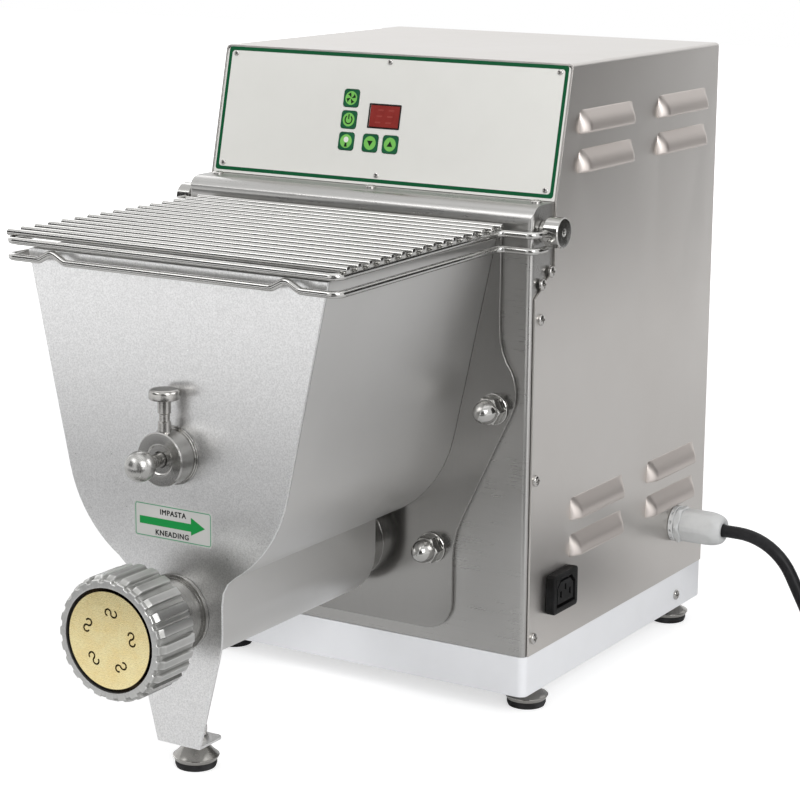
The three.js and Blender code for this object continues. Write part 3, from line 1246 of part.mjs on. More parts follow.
function paddlePair(turn) {
  const outline = shapeOf([
    [-MIXER_SWEEP_RADIUS - OVERRUN, -PADDLE_TIP_WIDTH / 2],
    [0, -PADDLE_ROOT_WIDTH / 2],
    [MIXER_SWEEP_RADIUS + OVERRUN, -PADDLE_TIP_WIDTH / 2],
    [MIXER_SWEEP_RADIUS + OVERRUN, PADDLE_TIP_WIDTH / 2],
    [0, PADDLE_ROOT_WIDTH / 2],
    [-MIXER_SWEEP_RADIUS - OVERRUN, PADDLE_TIP_WIDTH / 2],
  ]);
  const plate = prism(outline, 'z', -PADDLE_THICKNESS / 2, PADDLE_THICKNESS / 2).rotateX(PADDLE_PITCH_ANGLE);
  return common(plate, disc(MIXER_SWEEP_RADIUS, 'y', -PADDLE_TIP_WIDTH, PADDLE_TIP_WIDTH)).rotateY(turn);
}

function mixer() {
  const pitch = (MIXER_BACK - MIXER_FRONT - 2 * PADDLE_INSET) / (PADDLE_COUNT - 1);
  const paddles = Array.from({ length: PADDLE_COUNT }, (_, i) => (
    paddlePair(i * Math.PI / 2).translate(0, MIXER_FRONT + PADDLE_INSET + i * pitch, 0)
  ));
  const body = join(
    disc(MIXER_SHAFT_RADIUS, 'y', MIXER_FRONT, MIXER_BACK - TONGUE_DEPTH - FIT),
    disc(MIXER_HUB_RADIUS, 'y', MIXER_BACK - MIXER_HUB_LENGTH, MIXER_BACK),
    ...paddles,
  );
  return cut(
    body,
    disc(
      PIVOT_PIN_RADIUS + RUNNING_FIT, 'y', MIXER_FRONT - OVERRUN, PIVOT_PIN_BACK + RUNNING_FIT, SMALL_SIDES,
    ),
    block(
      -TONGUE_THICKNESS / 2 - FIT, TONGUE_THICKNESS / 2 + FIT,
      MIXER_BACK - TONGUE_DEPTH - FIT, MIXER_BACK + OVERRUN,
      -MIXER_HUB_RADIUS - OVERRUN, MIXER_HUB_RADIUS + OVERRUN,
    ),
  ).translate(0, 0, MIXER_HEIGHT);
}

function mixerDriveShaft() {
  const shoulder = MIXER_BACK + FIT;
  const half = TONGUE_THICKNESS / 2;
  const tongue = common(
    block(-half, half, MIXER_BACK - TONGUE_DEPTH, shoulder + FIT, -SHAFT_RADIUS, SHAFT_RADIUS),
    disc(SHAFT_RADIUS, 'y', MIXER_BACK - TONGUE_DEPTH - OVERRUN, shoulder + OVERRUN),
  );
  return join(disc(SHAFT_RADIUS, 'y', shoulder, SHAFT_END), tongue).translate(0, 0, MIXER_HEIGHT);
}

// Pivot in front: boss on the plate, pull-out pin with a ball, and the pin that locks it

function pivotBoss() {
  const back = TUB_FRONT - FIT;
  const front = back - PIVOT_BOSS_LENGTH;
  const body = revolve([
    [0, back],
    [PIVOT_BOSS_RIM_RADIUS, back],
    [PIVOT_BOSS_RIM_RADIUS, back - PIVOT_BOSS_RIM],
    [PIVOT_BOSS_RADIUS, back - PIVOT_BOSS_RIM],
    [PIVOT_BOSS_RADIUS, front + FIT],
    [PIVOT_BOSS_RADIUS - FIT, front],
    [PIVOT_DISH_RADIUS, front],
    [PIVOT_DISH_RADIUS - PIVOT_DISH_DEPTH, front + PIVOT_DISH_DEPTH],
    [0, front + PIVOT_DISH_DEPTH],
  ], 'y');
  return cut(
    body,
    disc(PIVOT_PIN_RADIUS + RUNNING_FIT, 'y', front - OVERRUN, back + OVERRUN, SMALL_SIDES),
    disc(LOCK_PIN_RADIUS + FIT, 'z', 0, PIVOT_BOSS_RADIUS + OVERRUN, SMALL_SIDES)
      .translate(0, LOCK_PIN_PLACE, 0),
  ).translate(0, 0, MIXER_HEIGHT);
}

function pivotPin() {
  const neckEnd = TUB_FRONT - FIT - PIVOT_BOSS_LENGTH;
  const cap = Math.asin(PIVOT_PIN_NECK_RADIUS / BALL_RADIUS);
  const ball = arc(0, BALL_PLACE, BALL_RADIUS, -Math.PI / 2, Math.PI / 2 - cap, SMALL_SIDES / 2);
  const body = revolve([
    ...ball,
    [PIVOT_PIN_NECK_RADIUS, neckEnd],
    [PIVOT_PIN_RADIUS, neckEnd],
    [PIVOT_PIN_RADIUS, PIVOT_PIN_BACK],
    [0, PIVOT_PIN_BACK],
  ], 'y', SMALL_SIDES);
  const flat = block(
    -PIVOT_PIN_RADIUS, PIVOT_PIN_RADIUS, PIN_FLAT_FRONT, PIVOT_PIN_BACK + OVERRUN,
    PIN_FLAT_HEIGHT, PIVOT_PIN_RADIUS + OVERRUN,
  );
  return cut(body, flat).translate(0, 0, MIXER_HEIGHT);
}

function lockPin() {
  return revolve([
    [0, MIXER_HEIGHT + PIN_FLAT_HEIGHT + FIT],
    [LOCK_PIN_RADIUS, MIXER_HEIGHT + PIN_FLAT_HEIGHT + FIT],
    [LOCK_PIN_RADIUS, LOCK_PIN_GROOVE_BOTTOM],
    [LOCK_PIN_GROOVE_RADIUS, LOCK_PIN_GROOVE_BOTTOM + LOCK_PIN_RADIUS - LOCK_PIN_GROOVE_RADIUS],
    [LOCK_PIN_GROOVE_RADIUS, LOCK_PIN_GROOVE_TOP],
    [LOCK_PIN_RADIUS, LOCK_PIN_GROOVE_TOP + LOCK_PIN_RADIUS - LOCK_PIN_GROOVE_RADIUS],
    [LOCK_PIN_RADIUS, LOCK_HEAD_BOTTOM],
    [LOCK_HEAD_RADIUS, LOCK_HEAD_BOTTOM],
    [LOCK_HEAD_RADIUS, LOCK_HEAD_TOP - LOCK_HEAD_ROUND],
    [LOCK_HEAD_RADIUS - LOCK_HEAD_ROUND, LOCK_HEAD_TOP],
    [0, LOCK_HEAD_TOP],
  ], 'z', SMALL_SIDES).translate(0, LOCK_PIN_PLACE, 0);
}

// Wire lid

function bothSides(rightHalf) {
  return [...rightHalf, ...rightHalf.map(([x, y, z]) => [-x, y, z]).reverse()];
}

function legRoute(height) {
  return [
    [LID_LEG_PLACE, HINGE_PLACE, height],
    [LID_LEG_PLACE, LID_REAR, height],
    [LID_REAR_HALF_WIDTH, LID_REAR, height],
    [LID_FRONT_HALF_WIDTH, LID_FRONT, height],
  ];
}

function bossRoom() {
  const room = disc(HINGE_BOSS_RADIUS + FIT, 'x', HINGE_BOSS_STEP - FIT, HINGE_BOSS_OUTER + FIT)
    .translate(0, HINGE_PLACE, HINGE_HEIGHT);
  return [room, mirrored(room)];
}

function lidGrille() {
  const frame = wire(bothSides(legRoute(GRILLE_FRAME_HEIGHT)), WIRE_RADIUS, LID_BEND);
  const spread = (LID_FRONT_HALF_WIDTH - LID_REAR_HALF_WIDTH) / (LID_FRONT - LID_REAR);
  const rods = Array.from({ length: GRILLE_ROD_COUNT }, (_, i) => {
    const y = GRILLE_ROD_FIRST + i * GRILLE_ROD_PITCH;
    const reach = LID_REAR_HALF_WIDTH + (y - LID_REAR) * spread + GRILLE_ROD_OVERHANG;
    return disc(WIRE_RADIUS, 'x', -reach, reach, ROD_SIDES).translate(0, y, GRILLE_ROD_HEIGHT);
  });
  return cut(join(frame, ...rods), ...bossRoom());
}

function guardWire() {
  const crest = GRILLE_FRAME_HEIGHT - 2 * WIRE_RADIUS - FIT;
  const right = [
    ...legRoute(GUARD_WIRE_HEIGHT),
    [KINK_PLACE + KINK_HALF_FOOT, LID_FRONT, GUARD_WIRE_HEIGHT],
    [KINK_PLACE, LID_FRONT, crest],
    [KINK_PLACE - KINK_HALF_FOOT, LID_FRONT, GUARD_WIRE_HEIGHT],
  ];
  return cut(wire(bothSides(right), WIRE_RADIUS, LID_BEND), ...bossRoom());
}

function hingeBoss() {
  return revolve([
    [HINGE_PIN_RADIUS + RUNNING_FIT, HOUSING_HALF_WIDTH - SHEET],
    [HINGE_COLLAR_RADIUS, HOUSING_HALF_WIDTH - SHEET],
    [HINGE_COLLAR_RADIUS, HINGE_BOSS_STEP],
    [HINGE_BOSS_RADIUS, HINGE_BOSS_STEP],
    [HINGE_BOSS_RADIUS, HINGE_BOSS_OUTER - FIT],
    [HINGE_BOSS_RADIUS - FIT, HINGE_BOSS_OUTER],
    [HINGE_HEAD_RADIUS + RUNNING_FIT, HINGE_BOSS_OUTER],
    [HINGE_HEAD_RADIUS + RUNNING_FIT, HINGE_BOSS_OUTER - HINGE_HEAD_DEPTH - RUNNING_FIT],
    [HINGE_PIN_RADIUS + RUNNING_FIT, HINGE_BOSS_OUTER - HINGE_HEAD_DEPTH - RUNNING_FIT],
  ], 'x', SMALL_SIDES).translate(0, HINGE_PLACE, HINGE_HEIGHT);
}

function hingePin() {
  const nutOuter = CHASSIS_HALF_WIDTH - CHASSIS_WALL - FIT;
  const headInner = HINGE_BOSS_OUTER - HINGE_HEAD_DEPTH;
  const body = join(
    disc(HINGE_PIN_RADIUS, 'x', nutOuter - HINGE_NUT - FIT, headInner + FIT, SMALL_SIDES),
    disc(HINGE_HEAD_RADIUS, 'x', headInner, HINGE_BOSS_OUTER, SMALL_SIDES),
    prism(ring(HINGE_NUT_RADIUS, HEX_SIDES), 'x', nutOuter - HINGE_NUT, nutOuter),
  );
  const socket = prism(
    ring(HINGE_SOCKET_RADIUS, HEX_SIDES), 'x', HINGE_BOSS_OUTER - HINGE_SOCKET_RADIUS, HINGE_BOSS_OUTER + FIT,
  );
  return cut(body, socket).translate(0, HINGE_PLACE, HINGE_HEIGHT);
}

// Drive: involute gears in mesh, carrier plate, bearings, seals and motor

function involute(angle) {
  return Math.tan(angle) - angle;
}

function gear(teeth, phase, bore) {
  const pitchRadius = GEAR_MODULE * teeth / 2;
  const baseRadius = pitchRadius * Math.cos(PRESSURE_ANGLE);
  const halfTooth = Math.PI / (2 * teeth) - GEAR_BACKLASH / (2 * pitchRadius);
  const halfAt = (radius) => {
    const pressure = Math.acos(baseRadius / Math.max(radius, baseRadius));
    return halfTooth + involute(PRESSURE_ANGLE) - involute(pressure);
  };
  const radii = [pitchRadius - DEDENDUM_SHARE * GEAR_MODULE, pitchRadius + GEAR_MODULE];
  const flank = radii.map((radius) => [radius, halfAt(radius)]);
  const corners = [...flank.map(([radius, half]) => [radius, -half]), ...flank.toReversed()];
  const points = [];
  for (let i = 0; i < teeth; i += 1) {
    const middle = phase + 2 * Math.PI * i / teeth;
    corners.forEach(([radius, turn]) => {
      points.push([radius * Math.cos(middle + turn), radius * Math.sin(middle + turn)]);
    });
  }
  const blank = prism(shapeOf(points), 'y', GEAR_FRONT, GEAR_FRONT + GEAR_WIDTH);
  return bore ? cut(blank, disc(bore, 'y', GEAR_FRONT - OVERRUN, GEAR_FRONT + GEAR_WIDTH + OVERRUN)) : blank;
}

function pinionPhase() {
  const pitchAngle = 2 * Math.PI / AUGER_GEAR_TEETH;
  const offset = Math.PI / 2 - PINION_BEARING;
  const nearest = offset - pitchAngle * Math.round(offset / pitchAngle);
  return PINION_BEARING + Math.PI - nearest * AUGER_GEAR_TEETH / PINION_TEETH + Math.PI / PINION_TEETH;
}

function gearCarrier() {
  const plate = block(
    -CARRIER_HALF_WIDTH, CARRIER_HALF_WIDTH, CARRIER_FRONT, CARRIER_BACK, TRAY_FLOOR + FIT, CARRIER_TOP,
  );
  const posts = [-CARRIER_POST_SPREAD, CARRIER_POST_SPREAD].flatMap((x) => (
    [CARRIER_POST_LOW, CARRIER_POST_HIGH].map((z) => (
      disc(CARRIER_POST_RADIUS, 'y', CHASSIS_WALL + FIT, CARRIER_FRONT + FIT, SMALL_SIDES).translate(x, 0, z)
    ))
  ));
  const hole = (radius, x, z) => (
    disc(radius, 'y', CARRIER_FRONT - OVERRUN, CARRIER_BACK + OVERRUN, SMALL_SIDES).translate(x, 0, z)
  );
  return cut(
    join(plate, ...posts),
    hole(BEARING_RADIUS + FIT, 0, MIXER_HEIGHT),
    hole(BEARING_RADIUS + FIT, 0, AUGER_HEIGHT),
    hole(PINION_SHAFT_RADIUS + RUNNING_FIT, PINION_X, PINION_Z),
  );
}

function gearmotor() {
  const front = CARRIER_BACK + FIT;
  const half = MOTOR_HEAD_SIZE / 2;
  const headBack = front + MOTOR_HEAD_LENGTH;
  const back = front + MOTOR_LENGTH;
  const footDepth = MOTOR_FOOT_WIDTH / 2;
  const middle = (headBack + back) / 2;
  const body = join(
    prism(roundedRectangle(-half, half, -half, half, CHASSIS_EDGE_RADIUS), 'y', front, headBack),
    disc(MOTOR_RADIUS, 'y', headBack - FIT, back),
    disc(MOTOR_COWL_RADIUS, 'y', back - MOTOR_COWL_LENGTH, back + FIT),
    block(
      -footDepth, footDepth, middle - footDepth, middle + footDepth,
      TRAY_FLOOR + FIT - PINION_Z, -MOTOR_RADIUS / 2,
    ),
  );
  const bore = disc(
    PINION_SHAFT_RADIUS + RUNNING_FIT, 'y', front - OVERRUN, PINION_SHAFT_END + RUNNING_FIT, SMALL_SIDES,
  );
  return cut(body, bore).translate(PINION_X, 0, PINION_Z);
}

function addDrive() {
  const mixerPhase = -Math.PI / 2 + Math.PI / MIXER_GEAR_TEETH;
  const bore = SHAFT_RADIUS + FIT;
  const turningBore = SHAFT_RADIUS + RUNNING_FIT;
  place('mixer_gear', gear(MIXER_GEAR_TEETH, mixerPhase, bore).translate(0, 0, MIXER_HEIGHT), gearSteel);
  place('auger_gear', gear(AUGER_GEAR_TEETH, Math.PI / 2, bore).translate(0, 0, AUGER_HEIGHT), gearSteel);
  const pinion = join(
    gear(PINION_TEETH, pinionPhase(), 0),
    disc(PINION_SHAFT_RADIUS, 'y', GEAR_FRONT + FIT, PINION_SHAFT_END, SMALL_SIDES),
  );
  place('motor_pinion', pinion.translate(PINION_X, 0, PINION_Z), gearSteel);
  place('gear_carrier', gearCarrier(), gearSteel);
  for (const [shaft, z] of [['mixer', MIXER_HEIGHT], ['auger', AUGER_HEIGHT]]) {
    const middle = (CARRIER_FRONT + CARRIER_BACK) / 2;
    const half = BEARING_WIDTH / 2;
    const bearing = tubeRing(turningBore, BEARING_RADIUS, 'y', middle - half, middle + half, SMALL_SIDES);
    const seal = tubeRing(turningBore, SEAL_RADIUS, 'y', REAR_PLATE_FRONT + FIT, CHASSIS_WALL, SMALL_SIDES);
    place(`${shaft}_bearing`, bearing.translate(0, 0, z), nickel);
    place(`${shaft}_seal`, seal.translate(0, 0, z), blackRubber);
  }
  place('gearmotor', gearmotor(), motorPaint);
  const lift = TRAY_FLOOR + FIT;
  const [front, inset] = [CAPACITOR_BACK - CAPACITOR_LENGTH, CAPACITOR_CLIP_SHARE * CAPACITOR_LENGTH];
  const capacitor = join(
    disc(CAPACITOR_RADIUS, 'y', front, CAPACITOR_BACK).translate(0, 0, lift + CAPACITOR_RADIUS),
    block(
      -CAPACITOR_RADIUS / 2, CAPACITOR_RADIUS / 2, front + inset, CAPACITOR_BACK - inset,
      lift, lift + CAPACITOR_RADIUS,
    ),
  );
  place('run_capacitor', capacitor.translate(CAPACITOR_PLACE, 0, 0), greyPlastic);
}

// Mains cable: gland, lead to the floor, coil, tail and plug

function cableGland() {
  const inner = HOUSING_HALF_WIDTH - SHEET - GLAND_THREAD;
  const domeBack = GLAND_TIP - GLAND_DOME_LENGTH;
  const body = join(
    disc(GLAND_THREAD_RADIUS, 'x', inner, HOUSING_HALF_WIDTH + 2 * FIT, SMALL_SIDES),
    disc(GLAND_FLANGE_RADIUS, 'x', HOUSING_HALF_WIDTH + FIT, GLAND_HEX_PLACE, SMALL_SIDES),
    prism(ring(GLAND_HEX_RADIUS, HEX_SIDES), 'x', GLAND_HEX_PLACE - FIT, GLAND_NUT_PLACE),
    revolve([
      [0, GLAND_NUT_PLACE - FIT],
      [GLAND_NUT_RADIUS, GLAND_NUT_PLACE - FIT],
      [GLAND_NUT_RADIUS, domeBack],
      [(GLAND_NUT_RADIUS + GLAND_DOME_RADIUS) / 2 + SHEET, domeBack + GLAND_DOME_LENGTH / 2],
      [GLAND_DOME_RADIUS, GLAND_TIP],
      [0, GLAND_TIP],
    ], 'x', SMALL_SIDES),
  );
  const floor = GLAND_TIP - GLAND_MOUTH_DEPTH;
  const mouth = disc(CABLE_RADIUS + FIT, 'x', floor, GLAND_TIP + OVERRUN, SMALL_SIDES);
  return cut(body, mouth).translate(0, GLAND_PLACE, GLAND_HEIGHT);
}

function cordLead() {
  return wire([
    [GLAND_TIP - GLAND_MOUTH_DEPTH + FIT, GLAND_PLACE, GLAND_HEIGHT],
    [LEAD_TOP_CORNER, GLAND_PLACE, GLAND_HEIGHT],
    [LEAD_FLOOR_CORNER, GLAND_PLACE, CABLE_RADIUS],
    [COIL_PLACE_X - 2 * CABLE_RADIUS - FIT, GLAND_PLACE, CABLE_RADIUS],
  ], CABLE_RADIUS, LEAD_BEND, CABLE_SIDES, BEND_STEPS + 1);
}

// The coil's middle line: in two turns on the floor, a climb in half a turn, out two turns above
function coilPoints() {
  const turns = 2 * COIL_TURNS_PER_LAYER + COIL_CLIMB_SHARE;
  const layerRise = COIL_TURN_PITCH;
  const outward = (turn) => Math.hypot(turn - turns / 2, COIL_TURNING_SHARE);
  const straight = 2 * CABLE_RADIUS;
  const points = [[-straight, -COIL_OUTER_RADIUS, CABLE_RADIUS]];
  for (let k = 0; k <= turns * COIL_STEPS_PER_TURN; k += 1) {
    const turn = k / COIL_STEPS_PER_TURN;
    const angle = 2 * Math.PI * turn - Math.PI / 2;
    const radius = COIL_OUTER_RADIUS + COIL_TURN_PITCH * (outward(turn) - outward(0));
    const share = THREE.MathUtils.smoothstep(turn, COIL_TURNS_PER_LAYER, turns - COIL_TURNS_PER_LAYER);
    points.push([radius * Math.cos(angle), radius * Math.sin(angle), CABLE_RADIUS + layerRise * share]);
  }
  points.push([-straight, COIL_OUTER_RADIUS, CABLE_RADIUS + layerRise]);
  return points.map(([x, y, z]) => new THREE.Vector3(COIL_PLACE_X + x, COIL_PLACE_Y + y, z));
}

function tubeThrough(points, radius, sides) {
  const heading = new THREE.Vector3();
  const across = new THREE.Vector3();
  const above = new THREE.Vector3();
  const rings = points.map((point, i) => {
    heading.subVectors(points[Math.min(i + 1, points.length - 1)], points[Math.max(i - 1, 0)]);
    if (i === 0 || i === points.length - 1) heading.set(i ? -1 : 1, 0, 0);
    across.crossVectors(heading, new THREE.Vector3(0, 0, 1)).normalize();
    above.crossVectors(across, heading).normalize();
    return Array.from({ length: sides }, (_, k) => {
      const angle = 2 * Math.PI * k / sides + Math.PI / 2;
      const side = point.clone().addScaledVector(across, radius * Math.cos(angle));
      return side.addScaledVector(above, radius * Math.sin(angle));
    });
  });
  const faces = [];
  for (let i = 0; i < rings.length - 1; i += 1) {
    for (let k = 0; k < sides; k += 1) {
      const [a, b] = [i * sides + k, i * sides + (k + 1) % sides];
      faces.push(a, b, b + sides, a, b + sides, a + sides);
    }
  }
  const end = (rings.length - 1) * sides;
  for (let k = 1; k < sides - 1; k += 1) faces.push(0, k + 1, k, end, end + k, end + k + 1);
  const geometry = new THREE.BufferGeometry();
  geometry.setFromPoints(rings.flat());
  geometry.setIndex(faces);
  return { geometry, rings };
}

// Least distance between the surfaces' points of loops that lie beside or above each other
function leastGap(rings) {
  const apart = COIL_STEPS_PER_TURN / 2;
  let least = Infinity;
  rings.forEach((ringPoints, i) => rings.slice(i + apart).forEach((others) => {
    for (const a of ringPoints) for (const b of others) least = Math.min(least, a.distanceTo(b));
  }));
  return least;
}

function cordCoil() {
  const { geometry, rings } = tubeThrough(coilPoints(), CABLE_RADIUS, COIL_SIDES);
  const [gap, thickness] = [leastGap(rings).toFixed(2), (2 * CABLE_RADIUS).toFixed(1)];
  console.log(`coil: least gap ${gap} mm, cable ${thickness} mm thick`);
  return geometry;
}

// Tail: a curve over the coil that climbs from its upper layer to the plug lying on top
class TailRoute extends THREE.Curve {
  getPoint(share, target = new THREE.Vector3()) {
    const sweep = TAIL_SWEEP * TAIL_RADIUS;
    const run = share * (sweep + TAIL_STRAIGHT);
    const angle = Math.PI / 2 + Math.min(run, sweep) / TAIL_RADIUS;
    const beyond = Math.max(run - sweep, 0);
    const rise = PLUG_HEIGHT - COIL_EXIT_HEIGHT;
    const middle = COIL_PLACE_Y + COIL_OUTER_RADIUS - TAIL_RADIUS;
    return target.set(
      COIL_EXIT_X + TAIL_RADIUS * Math.cos(angle) - beyond * Math.sin(angle),
      middle + TAIL_RADIUS * Math.sin(angle) + beyond * Math.cos(angle),
      COIL_EXIT_HEIGHT + rise * THREE.MathUtils.smoothstep(share, 0, 1),
    );
  }
}

function mainsPlug() {
  const sleeveEnd = PLUG_SLEEVE_LENGTH;
  const face = sleeveEnd + PLUG_BODY_LENGTH;
  const body = revolve([
    [0, 0],
    [PLUG_SLEEVE_RADIUS, 0],
    [PLUG_SLEEVE_RADIUS + FIT, sleeveEnd],
    [PLUG_SHOULDER_RADIUS, sleeveEnd + FIT],
    [PLUG_RADIUS, sleeveEnd + PLUG_BODY_LENGTH / 2],
    [PLUG_RADIUS, face],
    [0, face],
  ], 'x');
  const pins = [-1, 1].map((side) => (
    disc(PLUG_PIN_RADIUS, 'x', face - FIT, face + PLUG_PIN_LENGTH, WIRE_SIDES)
      .translate(0, side * PLUG_PIN_SPACING / 2, 0)
  ));
  return join(body, ...pins);
}

function addCable() {
  place('cable_gland', cableGland(), greyPlastic);
  place('cord_lead', cordLead(), blackRubber);
  place('cord_coil', cordCoil(), blackRubber);
  const route = new TailRoute();
  const section = ring(CABLE_RADIUS, CABLE_SIDES);
  const tail = new THREE.ExtrudeGeometry(section, { steps: TAIL_STEPS, extrudePath: route });
  place('cord_tail', tail, blackRubber);
  const end = route.getPoint(1);
  const heading = Math.PI + TAIL_SWEEP;
  const plug = mainsPlug().rotateZ(heading).translate(
    end.x + FIT * Math.cos(heading), end.y + FIT * Math.sin(heading), end.z,
  );
  place('mains_plug', plug, blackPlastic);
}

function addHousing() {
  place('base_tray', baseTray(), whiteEnamel);
  place('chassis_front', chassisFront(), brushedSteel);
  place('housing_cover', housingCover(), brushedSteel);
  place('back_panel', backPanel(), brushedSteel);
  addPanel();
  place('power_outlet', powerOutlet(), blackPlastic);
}

function addTub() {
  place('tub_front_plate', frontPlate(), blastedSteel);
  place('tub_shell', tubShell(), blastedSteel);
  place('tub_rear_plate', rearPlate(), blastedSteel);
  place('auger_barrel', augerBarrel(), castMetal);
  studPlaces().forEach(([corner, x, z]) => {
    place(`tub_stud_${corner}`, acornStud().translate(x, 0, z), nickel);
  });
  place('pivot_boss', pivotBoss(), polishedSteel);
  place('pivot_pin', pivotPin(), polishedSteel);
  place('lock_pin', lockPin(), polishedSteel);
  place('ring_nut', ringNut(), castMetal);
  place('die_disc', dieDisc(), brass);
  place('mixer', mixer(), polishedSteel);
  place('mixer_drive_shaft', mixerDriveShaft(), gearSteel);
  place('auger', auger(), castMetal);
}

function addLid() {
  place('lid_grille', lidGrille(), nickel);
  place('lid_guard_wire', guardWire(), nickel);
  place('lid_hinge_boss_right', hingeBoss(), nickel);
  place('lid_hinge_boss_left', mirrored(hingeBoss()), nickel);
  place('hinge_pin_right', hingePin(), nickel);
  place('hinge_pin_left', mirrored(hingePin()), nickel);
}

addFeet();
addHousing();
addTub();
addLid();
addDrive();
addCable();
machine.position.y = -(NUT_FRONT + TRAY_BACK) / 2;

export default machine;
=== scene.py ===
"""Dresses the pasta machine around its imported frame.

Steel sheet, cast nut, bronze die, wire lid, panel with its keys, mains cable, light and camera.
Sizes are millimetres in the machine's own place, and every piece ends up in metres.
"""

from __future__ import annotations

import json
import logging
import math
from dataclasses import dataclass
from enum import Enum
from itertools import accumulate, product
from typing import Callable, Iterable, Sequence

import bmesh
import bpy
from mathutils import Matrix, Vector
from mathutils.geometry import delaunay_2d_cdt

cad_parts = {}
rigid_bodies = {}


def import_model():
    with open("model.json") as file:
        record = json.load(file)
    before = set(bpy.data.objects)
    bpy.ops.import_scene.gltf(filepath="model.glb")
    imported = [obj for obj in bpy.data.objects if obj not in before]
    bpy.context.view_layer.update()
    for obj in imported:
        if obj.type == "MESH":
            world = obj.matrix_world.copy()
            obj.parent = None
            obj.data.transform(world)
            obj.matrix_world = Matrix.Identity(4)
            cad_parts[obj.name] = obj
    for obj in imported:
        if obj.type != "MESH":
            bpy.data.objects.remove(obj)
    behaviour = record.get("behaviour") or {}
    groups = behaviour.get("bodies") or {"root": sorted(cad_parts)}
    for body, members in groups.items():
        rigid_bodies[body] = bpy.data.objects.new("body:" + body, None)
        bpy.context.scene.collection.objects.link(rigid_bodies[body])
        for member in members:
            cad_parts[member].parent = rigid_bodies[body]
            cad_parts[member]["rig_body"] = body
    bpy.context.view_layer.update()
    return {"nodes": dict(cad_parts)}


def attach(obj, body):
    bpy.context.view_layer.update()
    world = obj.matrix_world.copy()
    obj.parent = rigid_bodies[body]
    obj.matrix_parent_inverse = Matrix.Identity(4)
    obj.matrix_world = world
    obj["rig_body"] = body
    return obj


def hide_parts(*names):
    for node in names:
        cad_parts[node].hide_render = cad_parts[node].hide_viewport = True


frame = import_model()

LOG = logging.getLogger("pasta_machine")

MM = 0.001
FRONT_SHIFT = -5.5
MODEL_SEAM = 1e-6
FACE_TURN = math.radians(0.3)
EDGE_TURN = math.radians(50.0)
SMOOTH_TURN = 34.0
FITTING_TURN = 40.0
TURN = 2 * math.pi
MIXER_HEIGHT = 226.0
AUGER_HEIGHT = 116.7

Place = tuple[float, float]
Point = tuple[float, float, float]
Profile = Sequence[Place]
Colour = tuple[float, float, float]
Operand = "Signal | float | Sequence[float]"


class Axis(Enum):
    """The direction that a turned or extruded form runs along."""

    X = 0
    Y = 1
    Z = 2


def placed(point: Iterable[float]) -> Vector:
    """Turns a point in the machine's millimetres into the part's metres."""
    x, y, z = point
    return Vector((x, y + FRONT_SHIFT, z)) * MM


def shown(name: str, data: bpy.types.ID) -> bpy.types.Object:
    """Puts a mesh, a lamp or a camera into the scene.

    Args:
        name: The object's name.
        data: What it shows.

    Returns:
        The new object.
    """
    made = bpy.data.objects.new(name, data)
    bpy.context.scene.collection.objects.link(made)
    return made


# Shader arithmetic


def node_operator(operation: str, swapped: bool = False) -> Callable[[Signal, Operand], Signal]:
    """Makes the method of one arithmetic operator.

    Args:
        operation: The node's operation.
        swapped: Whether the other value comes first, as in the reflected form.

    Returns:
        The method.
    """

    def apply(self: Signal, other: Operand) -> Signal:
        """Adds the operator's node."""
        return self.math(operation, *((other, self) if swapped else (self, other)))

    return apply


class Signal:
    """One output socket of a node tree, on which plain arithmetic adds Math nodes."""

    __add__, __radd__ = node_operator("ADD"), node_operator("ADD", True)
    __sub__, __rsub__ = node_operator("SUBTRACT"), node_operator("SUBTRACT", True)
    __mul__, __rmul__ = node_operator("MULTIPLY"), node_operator("MULTIPLY", True)

    def __init__(self, recipe: Recipe, socket: bpy.types.NodeSocket) -> None:
        """Keeps the socket and the recipe that it belongs to."""
        self.recipe, self.socket = recipe, socket

    def math(self, operation: str, *operands: Operand) -> Signal:
        """Adds one Math node on the operands."""
        return self.recipe.node("ShaderNodeMath", {"operation": operation}, dict(enumerate(operands)))

    def above(self, limit: float, softness: float) -> Signal:
        """Rises smoothly from 0 to 1 about a limit, over twice the softness."""
        sockets = {0: self, 1: limit - softness, 2: limit + softness}
        return self.recipe.node("ShaderNodeMapRange", {"interpolation_type": "SMOOTHSTEP"}, sockets)


class Direction(Signal):
    """A vector socket, on which arithmetic adds Vector Math nodes."""

    def math(self, operation: str, *operands: Operand) -> Direction:
        """Adds one Vector Math node on the operands."""
        made = self.recipe.node("ShaderNodeVectorMath", {"operation": operation}, dict(enumerate(operands)))
        return Direction(self.recipe, made.socket)

    def length(self) -> Signal:
        """Gives the vector's length."""
        return self.recipe.node("ShaderNodeVectorMath", {"operation": "LENGTH"}, {0: self}, "Value")

    def part(self, axis: Axis) -> Signal:
        """Gives the vector's share along one axis."""
        return self.recipe.node("ShaderNodeSeparateXYZ", {}, {0: self}, axis.value)


